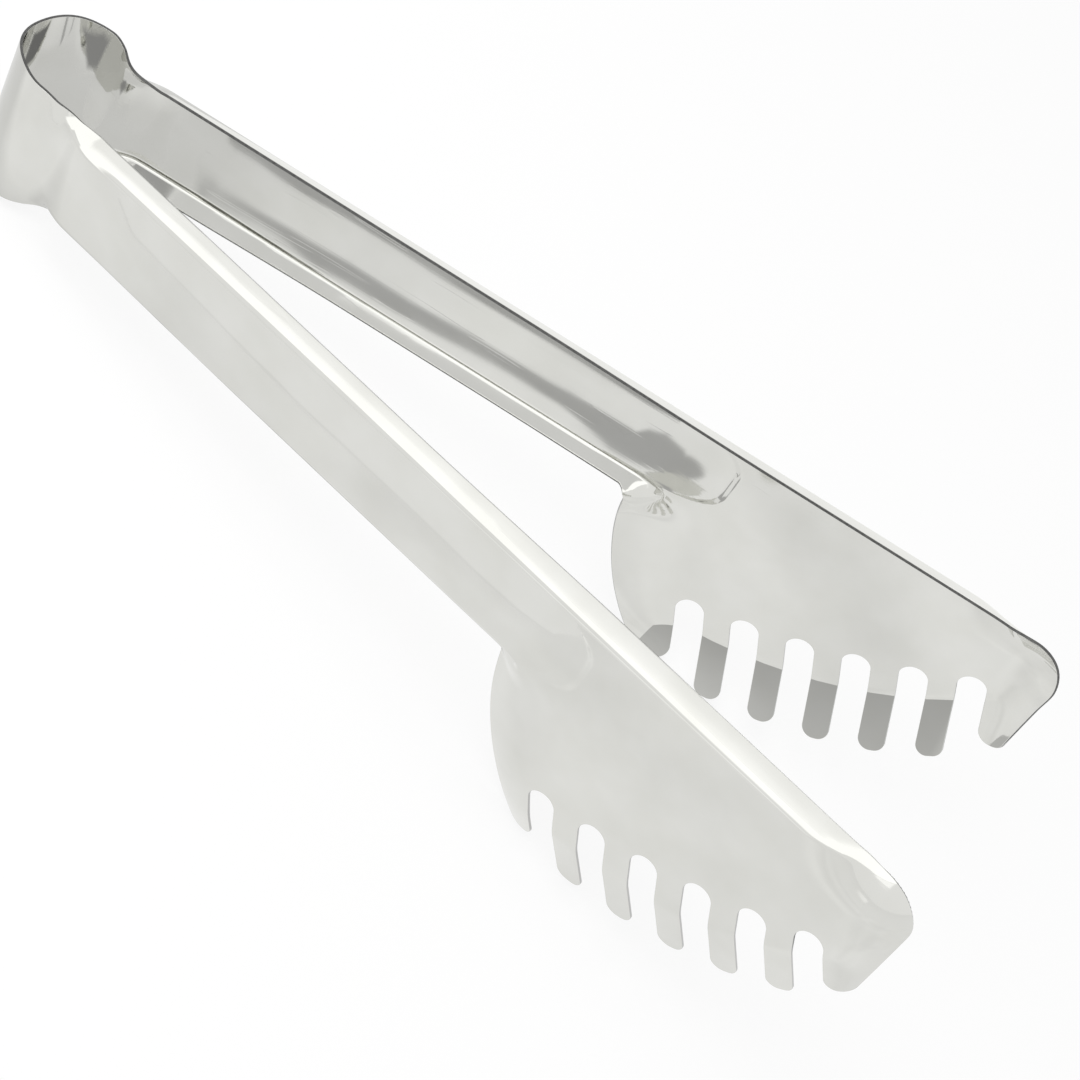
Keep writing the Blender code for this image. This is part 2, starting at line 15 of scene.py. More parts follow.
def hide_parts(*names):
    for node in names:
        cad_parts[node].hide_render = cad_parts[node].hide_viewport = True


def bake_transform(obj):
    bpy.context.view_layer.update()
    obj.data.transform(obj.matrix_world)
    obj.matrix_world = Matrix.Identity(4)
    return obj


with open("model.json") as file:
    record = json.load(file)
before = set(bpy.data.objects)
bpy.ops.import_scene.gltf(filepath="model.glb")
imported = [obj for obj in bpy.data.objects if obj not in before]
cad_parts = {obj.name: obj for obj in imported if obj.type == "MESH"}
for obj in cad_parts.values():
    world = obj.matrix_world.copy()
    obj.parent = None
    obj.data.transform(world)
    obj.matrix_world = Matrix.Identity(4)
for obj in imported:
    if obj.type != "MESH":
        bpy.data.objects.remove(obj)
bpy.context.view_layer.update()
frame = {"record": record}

# Sheet
SHEET = 0.0006
EDGE_ROUND = 0.00011
EDGE_SEGMENTS = 2

# Keyhole path, seen along the strip's width
LOOP_HALF_WIDTH = 0.01135
LOOP_DEPTH = 0.0112
LOOP_TO_CROSSING = 0.0854
LOOP_POINT = 1.1
HINGE_RADIUS = 0.6366
ARM_SPREAD_DEG = 7.6
NECK_LEAVE_DEG = 20.4
NECK_END = 0.1005
NECK_STIFFNESS = 0.0082

# Widths across the strip
BOW_WIDTH_BACK = 0.0295
BOW_WIDTH_QUARTER = 0.0315
BOW_WIDTH_SIDE = 0.0308
TOP_TAPER_START = 0.0855
TOP_TAPER_RUN = 0.0090
BOTTOM_TAPER_START = 0.0835
BOTTOM_TAPER_RUN = 0.0135
WEB_RISE = 0.0103
WEB_DROP = 0.0102
NECK_WEB_DROP = 0.0097
WEB_TAPER_START = 0.1000
WEB_TAPER_RUN = 0.0500

# Flanges
TOP_FLANGE_START = 0.0889
TOP_FLANGE_START_RUN = 0.0107
BOTTOM_FLANGE_START = 0.0895
BOTTOM_FLANGE_START_RUN = 0.0100
FLANGE_FOLD_DEG = 62.0
HEAD_FLANGE_FOLD_DEG = 65.3
FOLD_CHANGE_START = 0.1800
FOLD_CHANGE_RUN = 0.0550
FOLD_RADIUS = 0.0016
NECK_FOLD_RADIUS = 0.0060
NECK_FOLD_START = 0.0900
NECK_FOLD_RUN = 0.0065
TOP_FLANGE_RISE = 0.0020
BOTTOM_FLANGE_DROP = 0.00167
FLANGE_SETTLE_RADIUS = 0.0005
FLANGE_SETTLE_GAP = 0.0005
BOTTOM_FLANGE_FADE_START = 0.2140
BOTTOM_FLANGE_FADE_RUN = 0.0085
TOP_FLANGE_FADE_LEAD = 0.0157
TOP_FLANGE_FADE_RUN = 0.0140

# Shallow trough pressed outwards along the web
TROUGH_DEPTH = 0.0007
TROUGH_HALF_WIDTH = 0.0096
TROUGH_START = 0.0980
TROUGH_START_RUN = 0.0180
TROUGH_END = 0.2304
TROUGH_END_RUN = 0.0016
TROUGH_EBB = 0.45
TROUGH_EBB_RUN = 0.0100
TROUGH_END_ROUND = 0.0090

# Comb head outline
TIP_CORNER_RADIUS = 0.0098
BACK_EDGE = 0.2141
BACK_ARC_RADIUS = 0.0573
BACK_ARC_DEPTH = 0.0051
BACK_FILLET = 0.0046

# Comb, in a frame turned so that the teeth point straight down it
TOOTH_SLANT_DEG = 22.8
SLOT_COUNT = 6
SLOT_PITCH = 0.0118
SLOT_WIDTH = 0.0061
FIRST_SLOT = 0.2069
SLOT_ARC_TOP = 0.1245
SLOT_ARC_MIDDLE = 0.2325
SLOT_ARC_RADIUS = 0.165
TIP_ARC_TOP = 0.1476
TIP_ARC_MIDDLE = 0.2325
TIP_ARC_RADIUS = 0.082
FIRST_TOOTH_TIP_WIDTH = 0.0037
FIRST_TOOTH_SHORTFALL = 0.0042
LAST_TOOTH_SHORTFALL = 0.0040
LAST_TOOTH_WIDTH = 0.00443
LAST_TOOTH_TIP_RADIUS = 0.0042
TOOTH_END_RADIUS = 0.0026

# How far the head is dished inwards
TOOTH_BEND_LENGTH = 0.0137
TOOTH_BEND_DEG = 15.8
TOOTH_BEND_RADIUS = 0.0012
BACK_DISH_LIFT = 0.0046
BACK_DISH_RUN = 0.0150
BACK_DISH_START = 0.2050
BACK_DISH_START_RUN = 0.0070
FRONT_DISH_LIFT = 0.0044
FRONT_DISH_RUN = 0.0080
CORNER_DISH_LIFT = 0.0042
CORNER_DISH_RUN = 0.0110
CORNER_DISH_LEAD = 0.0267
CORNER_DISH_START_RUN = 0.0180
FORM_BLEND = 4.0

# Steps along the keyhole path and round the outline
LOOP_BACK_POINTS = 600
LOOP_FRONT_POINTS = 80
NECK_POINTS = 240
PATH_STEP = 0.0001
PATH_EASE = 0.0009
PATH_EASE_STEPS = 30
ROUND_STEP_DEG = 6.0
ARC_STEP = 0.0010
CORNER_LEAD_POINTS = 5

# Spacing of the grid scored into the flat blanks
HEAD_CELL = 0.0012
ARM_CELL = 0.0030
BOW_CELL = 0.0007
FOLD_CELLS = 8
BEND_CELLS = 6
BEND_SCORE_REACH = 3 * HEAD_CELL
FINE_CELL = 0.0005
FINE_START = 0.2045
FINE_STOP = 0.2405
SLOPE_STEP = 0.00001
WELD = 0.000001
SAME_POINT = 20 * WELD

# How squarely a face of the blank has to face up or down to be a side of the sheet, or flat out
SIDE_FACING = 0.5
FLAT_FACING = 0.99

# Finish of the steel: grains are a scale, a detail and a stretch along the strip
STEEL_DARK = (0.685, 0.685, 0.650, 1.0)
STEEL_LIGHT = (0.720, 0.720, 0.690, 1.0)
STEEL_ROUGHNESS = (0.04, 0.09)
GRAIN_ROUGHNESS = 0.55
GRAIN_MIDDLE = (0.3, 0.7)
WAVE_GRAIN = (34.0, 1.0)
WAVE_HEIGHT = 0.00024
LINE_GRAIN = (2600.0, 2.0, (0.012, 1.0, 1.0))
LINE_HEIGHT = 0.0000010
SCRATCH_GRAIN = (900.0, 0.0, (0.05, 0.9, 1.0))
SCRATCH_SHARE = (0.66, 0.70)
SCRATCH_HEIGHT = 0.0000015
SMEAR_GRAIN = (120.0, 3.0, (0.25, 1.0, 1.0))
BLOTCH_GRAIN = (90.0, 2.0)

# Finish of the sheared edge
SHEARED_DARK = (0.05, 0.05, 0.05, 1.0)
SHEARED_LIGHT = (0.20, 0.20, 0.195, 1.0)
SHEARED_COMB = (0.50, 0.50, 0.49, 1.0)
SHEARED_ROUGHNESS = (0.26, 0.42)
COMB_EDGE = (-0.0170, -0.0125)
MARK_GRAIN = (1500.0, 3.0)
MARK_HEIGHT = 0.00002

# Floor, sky and lamp
SKY_LIGHT = 0.62
FLOOR_SIZE = 6.0
FLOOR_TONE = 0.88
FLOOR_ROUGHNESS = 0.9
FLOOR_TO_THE_EYE = 0.84
FLOOR_IN_THE_STEEL = 0.90
FLOOR_LEVEL = 0.965
CLOUD_LEVEL = 0.07
CLOUD_GRAIN = (22.0, 1.5)
CLOUD_REACH = (0.16, 0.30)
SHADE_LEVEL = 0.19
SHADE_ALONG = (-0.085, -0.045)
SHADE_ACROSS = (-0.013, -0.020)
TOP_LAMP_SIZE = (0.55, 0.40)
TOP_LAMP_PLACE = (0.05, -0.14, 0.62)
TOP_LAMP_AIM = (0.16, 0.0, 0.0)
TOP_LAMP_WATTS = 3.2

# Cards that glow only for the steel to reflect, so they paint highlights and shade into its reflections, in the
# strip's own frame. Corners of two values lie on the floor.
CARD_LIFT = 0.0002

# Large glowing panels overhead, high in front and far behind, that paint highlights into the steel
TOP_PANEL_LEVEL = 1.45
TOP_PANEL = [(-0.55, 0.05, 0.60), (0.45, 0.05, 0.60), (0.45, -1.20, 0.60), (-0.04, -1.20, 0.60),
             (-0.10, -0.50, 0.60), (-0.55, -0.45, 0.60)]
FRONT_PANEL_LEVEL = 1.30
FRONT_PANEL_SOFT = 0.06
FRONT_PANEL = [(-0.03, -1.2, 0.36), (0.45, -1.2, 0.36), (0.45, -1.2, 0.62), (-0.03, -1.2, 0.62)]
BEHIND_PANEL_LEVEL = 1.9
BEHIND_PANEL = [(0.30, 1.2, 0.03), (0.80, 1.2, 0.03), (0.80, 1.2, 0.45), (0.30, 1.2, 0.45)]
BEHIND_CARD_LEVEL = 1.10
BEHIND_CARD = [(-0.30, 0.12), (0.60, 0.12), (0.60, 1.19), (-0.30, 1.19)]

# Cards over the near arm's upper flange, painted into its reflection: a grey card for its body, a dark card of
# painted shade for the dull neck before it, painted highlights for its rim and the white place it starts
OVER_FLANGE = 0.12
FLANGE_CARD_LEVEL = 0.80
FLANGE_CARD = [(0.095, -0.0218), (0.2125, -0.0062), (0.219, -0.036), (0.242, -0.036), (0.245, -0.008),
               (0.2395, 0.005), (0.236, 0.012), (0.236, 0.09), (0.095, 0.06)]
# Painted shade: a dark card that the neck before the near flange reflects
FLANGE_START_SHADE_LEVEL = 0.42
FLANGE_START_CARD = [(0.05, -0.0262), (0.0945, -0.0219), (0.0945, 0.06), (0.05, 0.06)]
RIM_CARD_LEVEL = 1.17
RIM_CARD_SOFT = 0.005
RIM_CARD = [(0.02, -0.0345), (0.06, -0.0390), (0.09, -0.0418), (0.13, -0.0474), (0.17, -0.0493), (0.19, -0.0470),
            (0.21, -0.0450), (0.245, -0.0485), (0.31, -0.0560), (0.31, -0.0400), (0.245, -0.0330),
            (0.17, -0.0260), (0.02, -0.0080)]
START_CARD_LEVEL = 1.45
START_CARD_SOFT = 0.0025
START_CARD = [(0.0720, -0.030, 0.004), (0.0720, -0.030, 0.014), (0.0600, -0.030, 0.018), (0.0600, -0.030, 0.056),
              (0.0955, -0.030, 0.056), (0.0955, -0.030, 0.004)]

# Dark cards between the arms that paint shade into the far arm's reflection: the long band, a painted shadow of the
# near arm on the floor, which rises off the floor under the comb head, and a thin line of painted shade
BAND_SHADE_LEVEL = 0.48
BAND_CARD_SOFT = 0.0010
BAND_LIFT = 0.0106
BAND_LIFT_ALONG = (0.186, 0.212)
BAND_LEAN_BACK = -0.17
BAND_LEAN_OVER = (1.43, 0.915)
BAND_CARD = [(0.110, -0.0085), (0.115, -0.0105), (0.130, -0.0125), (0.145, -0.0140), (0.160, -0.0160),
             (0.180, -0.0175), (0.200, -0.0190), (0.215, -0.0205), (0.218, -0.0160), (0.222, -0.0145),
             (0.228, -0.0160), (0.232, -0.0195), (0.231, -0.0260), (0.225, -0.0280), (0.215, -0.0270),
             (0.200, -0.0255), (0.180, -0.0240), (0.160, -0.0225), (0.140, -0.0185), (0.125, -0.0145),
             (0.112, -0.0115)]
LINE_SHADE_LEVEL = 0.45
LINE_CARD = [(0.108, -0.0040), (0.222, -0.0040), (0.222, -0.0068), (0.160, -0.0066), (0.112, -0.0060)]

# Dark cards in the bow that paint shade into its reflections: its shaded floor and the shaded walls beside the far
# and the near arm
IN_BOW = -0.0168
BOW_SHADE_LEVEL = 0.75
BOW_CARD_SOFT = 0.0032
BOW_CARD = [(0.0752, -0.0070), (0.078, -0.0100), (0.092, -0.0100), (0.102, -0.0105), (0.104, 0.0005),
            (0.102, 0.0115), (0.092, 0.0108), (0.078, 0.0108), (0.0752, 0.0070)]
FAR_WALL_SHADE_LEVEL = 0.18
FAR_WALL_SOFT = 0.0012
FAR_WALL_CARD = [(0.0820, 0.0090, 0.0030), (0.0820, 0.0090, -0.0080), (0.0900, 0.0090, -0.0105),
                 (0.1030, 0.0100, -0.0125), (0.1030, 0.0100, -0.0095), (0.0890, 0.0090, 0.0000)]
NEAR_WALL_SHADE_LEVEL = 0.30
NEAR_WALL_SOFT = 0.0020
NEAR_WALL_CARD = [(0.0850, -0.0090, -0.0030), (0.0960, -0.0090, -0.0075), (0.1000, -0.0095, -0.0110),
                  (0.0930, -0.0090, -0.0110), (0.0870, -0.0090, -0.0150), (0.0800, -0.0090, -0.0145),
                  (0.0785, -0.0070, -0.0030)]

# Dark card under the far teeth that paints shade into their reflection
TEETH_SHADE_LEVEL = 0.50
TEETH_CARD_WAY = (0.13, -0.60, -0.79)
TEETH_CARD_LEAD = 0.0006
TEETH_CARD_END = 0.62

# Cards on the floor before the near arm that paint the near web's reflection: a long painted glare, and a pale
# field beyond it with a painted dull ridge on its edge
GLARE_CARD_LEVEL = 1.12
GLARE_CARD_SOFT = 0.02
GLARE_CARD = [(0.115, -0.15), (0.235, -0.15), (0.262, -0.34), (0.285, -0.46), (0.290, -0.75), (0.240, -0.80),
              (0.100, -0.80)]
BEYOND_CARD_LEVEL = 0.995
BEYOND_CARD = [(0.0892, -0.0443), (0.0977, -0.0402), (0.1140, -0.0434), (0.1442, -0.0505), (0.1740, -0.0603),
              (0.1994, -0.0693), (0.2084, -0.0795), (0.2102, -0.1300), (0.0600, -0.1300)]
RIDGE_CARD_LEVEL = 0.91
RIDGE_CARD = [(0.0892, -0.0437), (0.0977, -0.0396), (0.1140, -0.0428), (0.1442, -0.0496), (0.1740, -0.0592),
              (0.1994, -0.0680), (0.2090, -0.0792), (0.2084, -0.0803), (0.1994, -0.0704), (0.1740, -0.0614),
              (0.1442, -0.0514), (0.1140, -0.0441), (0.0977, -0.0408), (0.0892, -0.0449)]

# Camera, found from the outlines of both arms: angles and place in the strip's own frame
VIEW_AZIMUTH_DEG = 4.824
VIEW_HEIGHT_DEG = 47.184
VIEW_ROLL_DEG = 33.976
VIEW_PLACE = (0.237810, -0.369674, 0.388425)
VIEW_CLIP = 0.01
FOCAL_TO_WIDTH = 2.658
SENSOR_MM = 36.0


def smooth(x):
    """An eased step from 0 to 1."""
    t = np.clip(x, 0.0, 1.0)
    return t * t * (3.0 - 2.0 * t)


SLANT = math.radians(TOOTH_SLANT_DEG)


def comb_frame(s, z):
    """Position across the teeth and along them for a point of the blank."""
    return s * math.cos(SLANT) + z * math.sin(SLANT), s * math.sin(SLANT) - z * math.cos(SLANT)


def blank_point(across, along):
    """The reverse of comb_frame."""
    return across * math.cos(SLANT) + along * math.sin(SLANT), across * math.sin(SLANT) - along * math.cos(SLANT)


def arc_height(across, middle, top, radius):
    """How far down the teeth an arc lies that is deepest at its middle."""
    away = np.minimum(np.abs(across - middle), radius)
    return top - radius + np.sqrt(radius * radius - away * away)


def slot_top(across):
    """Where the slots start."""
    return arc_height(across, SLOT_ARC_MIDDLE, SLOT_ARC_TOP, SLOT_ARC_RADIUS)


def tip_line(across):
    """Where the teeth end."""
    return arc_height(across, TIP_ARC_MIDDLE, TIP_ARC_TOP, TIP_ARC_RADIUS)


LAST_SLOT_SIDE = FIRST_SLOT + (SLOT_COUNT - 1) * SLOT_PITCH + SLOT_WIDTH / 2
LAST_TIP_S, LAST_TIP_Z = blank_point(LAST_SLOT_SIDE, tip_line(LAST_SLOT_SIDE) - LAST_TOOTH_SHORTFALL)
ARM_REACH = LAST_TIP_S + LAST_TOOTH_WIDTH
BACK_ARC_S = BACK_EDGE + BACK_ARC_RADIUS


def keyhole_path():
    """Distances, points and outward normals along the strip on the +Y side, from the bow's middle."""
    spread = math.radians(ARM_SPREAD_DEG)
    leave = math.radians(NECK_LEAVE_DEG)
    turn = np.linspace(0.0, math.pi / 2, LOOP_BACK_POINTS)
    back = np.c_[LOOP_TO_CROSSING - LOOP_DEPTH * np.abs(np.cos(turn)) ** LOOP_POINT,
                 LOOP_HALF_WIDTH * np.sin(turn) ** LOOP_POINT]
    turn = np.linspace(0.0, leave, LOOP_FRONT_POINTS)[1:, None]
    front = np.hstack([LOOP_TO_CROSSING + LOOP_HALF_WIDTH * np.sin(turn), LOOP_HALF_WIDTH * np.cos(turn)])
    loop = np.vstack([back, front])
    ahead = np.array([math.cos(spread), math.sin(spread)])
    start_way = np.array([math.cos(leave), -math.sin(leave)]) * NECK_STIFFNESS / 2
    end = ahead * NECK_END
    handles = [loop[-1], loop[-1] + start_way, end - ahead * NECK_STIFFNESS / 2, end]
    t = np.linspace(0.0, 1.0, NECK_POINTS)[1:, None]
    neck = ((1 - t) ** 3 * handles[0] + 3 * (1 - t) ** 2 * t * handles[1]
            + 3 * (1 - t) * t ** 2 * handles[2] + t ** 3 * handles[3])
    points = np.vstack([loop, neck, ahead * (ARM_REACH + SLOT_PITCH)])
    along = np.r_[0.0, np.cumsum(np.hypot(*np.diff(points, axis=0).T))]
    even = np.arange(0.0, along[-1], PATH_STEP)
    whole = np.r_[-even[:0:-1], even]
    xs = np.interp(np.abs(whole), along, points[:, 0])
    ys = np.interp(np.abs(whole), along, points[:, 1]) * np.sign(whole)
    reach = np.arange(-PATH_EASE_STEPS, PATH_EASE_STEPS + 1)
    ease = np.exp(-0.5 * (reach * PATH_STEP / PATH_EASE) ** 2)
    ease /= ease.sum()
    middle = len(even) - 1
    xs, ys = (np.convolve(np.pad(line, PATH_EASE_STEPS, mode="reflect", reflect_type="odd"), ease,
                          mode="valid")[middle:] for line in (xs, ys))
    tx, ty = np.gradient(xs, even), np.gradient(ys, even)
    tx[0] = 0.0
    size = np.hypot(tx, ty)
    nx, ny = -ty / size, tx / size
    bend = np.gradient(np.unwrap(np.arctan2(ny, nx)), even)
    return even, xs, ys, nx, ny, bend, along[len(back) - 1], along[len(loop) + len(neck) - 1]


PATH_U, PATH_X, PATH_Y, NORMAL_X, NORMAL_Y, PATH_BEND, SPLIT_U, NECK_END_U = keyhole_path()
U_TO_S = NECK_END - NECK_END_U


def fold_height(past_crease, fold, radius):
    """Inward height of a flange at a distance past the crease where its plane would meet the web."""
    over = np.maximum(past_crease + radius * np.tan(fold / 2), 0.0)
    bend = radius * np.sin(fold)
    round_part = radius - np.sqrt(radius ** 2 - np.minimum(over, bend) ** 2)
    return round_part + np.maximum(over - bend, 0.0) * np.tan(fold)


def web_drop(s):
    """How far below the strip's middle the lower crease runs."""
    return NECK_WEB_DROP + (WEB_DROP - NECK_WEB_DROP) * smooth((s - WEB_TAPER_START) / WEB_TAPER_RUN)


def settled(depth):
    """A depth below the strip's middle, held from just past the lower flange's edge so that it runs level there."""
    end = WEB_DROP + BOTTOM_FLANGE_DROP + FLANGE_SETTLE_GAP
    left = end + FLANGE_SETTLE_RADIUS - depth
    eased = end - np.maximum(left, 0.0) ** 2 / (4 * FLANGE_SETTLE_RADIUS)
    return np.where(left >= 2 * FLANGE_SETTLE_RADIUS, depth, eased)


def corner_lift(s, z):
    """How far the rounded tip corner is dished, measured in from its own edge."""
    top = WEB_RISE + TOP_FLANGE_RISE
    away_s = np.maximum(0.0, s - (ARM_REACH - TIP_CORNER_RADIUS))
    away_z = np.maximum(0.0, z - (top - TIP_CORNER_RADIUS))
    inside = np.where((away_s <= 0.0) & (away_z <= 0.0), np.minimum(ARM_REACH - s, top - z),
                      TIP_CORNER_RADIUS - np.hypot(away_s, away_z))
    along_top = smooth((s - ARM_REACH + CORNER_DISH_LEAD) / CORNER_DISH_START_RUN)
    down_front = 1.0 - smooth((top - TIP_CORNER_RADIUS - z) / CORNER_DISH_RUN)
    inner = np.maximum(0.0, 1.0 - np.maximum(inside, 0.0) / CORNER_DISH_RUN)
    return CORNER_DISH_LIFT * along_top * down_front * inner ** 2


def flange_lifts(s, z):
    """How far the upper and the lower flange are folded inwards."""
    change = smooth((s - FOLD_CHANGE_START) / FOLD_CHANGE_RUN)
    fold = np.radians(FLANGE_FOLD_DEG + (HEAD_FLANGE_FOLD_DEG - FLANGE_FOLD_DEG) * change)
    crisp = smooth((s - NECK_FOLD_START) / NECK_FOLD_RUN)
    radius = NECK_FOLD_RADIUS + (FOLD_RADIUS - NECK_FOLD_RADIUS) * crisp
    top_start = smooth((s - TOP_FLANGE_START) / TOP_FLANGE_START_RUN)
    low_start = smooth((s - BOTTOM_FLANGE_START) / BOTTOM_FLANGE_START_RUN)
    top_fade = 1.0 - smooth((s - ARM_REACH + TOP_FLANGE_FADE_LEAD) / TOP_FLANGE_FADE_RUN)
    low_fade = 1.0 - smooth((s - BOTTOM_FLANGE_FADE_START) / BOTTOM_FLANGE_FADE_RUN)
    low = fold_height(settled(-z) - web_drop(s), fold, radius)
    return [top_start * top_fade * fold_height(z - WEB_RISE, fold, radius), low_start * low_fade * low]


def tooth_lift(s, z):
    """How far the teeth are bent inwards, eased over the bend's own radius."""
    across, along = comb_frame(s, z)
    past = along - (tip_line(across) - TOOTH_BEND_LENGTH)
    ease = np.clip(past + TOOTH_BEND_RADIUS, 0.0, 2.0 * TOOTH_BEND_RADIUS)
    bent = ease ** 2 / (4.0 * TOOTH_BEND_RADIUS) + np.maximum(past - TOOTH_BEND_RADIUS, 0.0)
    return np.where(s > BACK_DISH_START, bent * math.tan(math.radians(TOOTH_BEND_DEG)), 0.0)


def back_lift(s, z):
    """How far the back of the head is dished, measured in from its arc."""
    inside = BACK_ARC_RADIUS - np.hypot(s - BACK_ARC_S, z + BACK_ARC_DEPTH)
    near = smooth((-z - WEB_DROP) / BACK_DISH_START_RUN) * smooth((s - BACK_DISH_START) / BACK_DISH_START_RUN)
    inner = np.maximum(0.0, 1.0 - np.maximum(inside, 0.0) / BACK_DISH_RUN)
    return np.where(s < BACK_ARC_S, near * BACK_DISH_LIFT * inner ** 2, 0.0)


def front_lift(s):
    """How far the front of the head is dished, measured in from its edge."""
    inner = np.clip(1.0 - (ARM_REACH - s) / FRONT_DISH_RUN, 0.0, 1.0)
    return FRONT_DISH_LIFT * inner ** 2


def trough_drop(s, z):
    """How far the shallow trough is pressed outwards."""
    rim = np.maximum(0.0, 1.0 - (z / TROUGH_HALF_WIDTH) ** 2)
    end_s = TROUGH_END - TROUGH_END_ROUND * (z / TROUGH_HALF_WIDTH) ** 4
    begin = smooth((s - TROUGH_START) / TROUGH_START_RUN)
    ebb = 1.0 - TROUGH_EBB * smooth((s - end_s) / TROUGH_EBB_RUN + 1.0)
    finish = ebb * (1.0 - smooth((s - end_s) / TROUGH_END_RUN))
    return TROUGH_DEPTH * rim * begin * finish


def inward_height(s, z):
    """How far the pressed sheet stands inwards of the arm's plane, from 0 at the flat web."""
    parts = flange_lifts(s, z) + [tooth_lift(s, z), back_lift(s, z), front_lift(s), corner_lift(s, z)]
    scale = np.maximum(np.max(parts, axis=0), WELD)
    raised = scale * sum((part / scale) ** FORM_BLEND for part in parts) ** (1.0 / FORM_BLEND)
    return raised - trough_drop(s, z)


def pressed(flat, flat_normals, side):
    """Places and normals of a flat blank's points once the sheet is pressed to shape."""
    u, z, off = flat.T
    s = u + U_TO_S
    height = inward_height(s, z)
    slope_u = (inward_height(s + SLOPE_STEP, z) - inward_height(s - SLOPE_STEP, z)) / (2 * SLOPE_STEP)
    slope_z = (inward_height(s, z + SLOPE_STEP) - inward_height(s, z - SLOPE_STEP)) / (2 * SLOPE_STEP)
    on_bow = u < SPLIT_U / 2
    height, slope_u, slope_z = (np.where(on_bow, 0.0, part) for part in (height, slope_u, slope_z))
    nx, ny = np.interp(u, PATH_U, NORMAL_X), np.interp(u, PATH_U, NORMAL_Y)
    size = np.hypot(nx, ny)
    out = np.c_[nx / size, ny / size, np.zeros_like(u)]
    ahead = np.c_[out[:, 1], -out[:, 0], np.zeros_like(u)]
    up = np.tile([0.0, 0.0, 1.0], (len(u), 1))
    stretch = 1.0 + np.interp(u, PATH_U, PATH_BEND) * height
    place = np.c_[np.interp(u, PATH_U, PATH_X), np.interp(u, PATH_U, PATH_Y), z] - out * height[:, None]
    normal = unit(out * stretch[:, None] + up * (stretch * slope_z)[:, None] + ahead * slope_u[:, None])
    along = unit(ahead * stretch[:, None] - out * slope_u[:, None])
    across = unit(up - out * slope_z[:, None])
    place = place + normal * off[:, None]
    turned = unit(along * flat_normals[:, :1] + across * flat_normals[:, 1:2] + normal * flat_normals[:, 2:])
    mirror = np.array([1.0, side, 1.0])
    return place * mirror, turned * mirror


def unit(vectors):
    """The vectors at length 1."""
    return vectors / np.linalg.norm(vectors, axis=1)[:, None]


def bow_half_width(u):
    """How far the edge is from the strip's middle around the bow."""
    turn = math.pi / 2 * min(u / SPLIT_U, 1.0)
    even = BOW_WIDTH_BACK + (BOW_WIDTH_SIDE - BOW_WIDTH_BACK) * math.sin(turn) ** 2
    swell = BOW_WIDTH_QUARTER - (BOW_WIDTH_BACK + BOW_WIDTH_SIDE) / 2
    return (even + swell * math.sin(2.0 * turn) ** 2) / 2


def edge_top(u):
    """The upper edge, from the bow's half width to the arm's."""
    share = float(smooth((u + U_TO_S - TOP_TAPER_START) / TOP_TAPER_RUN))
    return bow_half_width(u) * (1.0 - share) + (WEB_RISE + TOP_FLANGE_RISE) * share


def edge_bottom(u):
    """The lower edge, from the bow's half width to the arm's."""
    share = float(smooth((u + U_TO_S - BOTTOM_TAPER_START) / BOTTOM_TAPER_RUN))
    return -bow_half_width(u) * (1.0 - share) - (WEB_DROP + BOTTOM_FLANGE_DROP) * share


def round_corner(before, corner, after, radius):
    """Points of an arc that rounds the corner of two straight edges."""
    corner = np.array(corner, float)
    one = np.array(before, float) - corner
    two = np.array(after, float) - corner
    reach = min(np.linalg.norm(one), np.linalg.norm(two))
    one /= np.linalg.norm(one)
    two /= np.linalg.norm(two)
    half = math.acos(max(-1.0, min(1.0, float(one @ two)))) / 2
    radius = min(radius, reach / 2 * math.tan(half))
    middle = corner + (one + two) / np.linalg.norm(one + two) * radius / math.sin(half)
    start = corner + one * radius / math.tan(half) - middle
    end = corner + two * radius / math.tan(half) - middle
    a = math.atan2(start[1], start[0])
    b = math.atan2(end[1], end[0])
    sweep = (b - a + math.pi) % (2.0 * math.pi) - math.pi
    count = max(3, math.ceil(abs(sweep) / math.radians(ROUND_STEP_DEG)))
    angles = [a + sweep * i / count for i in range(count + 1)]
    return [(middle[0] + radius * math.cos(t), middle[1] + radius * math.sin(t)) for t in angles]


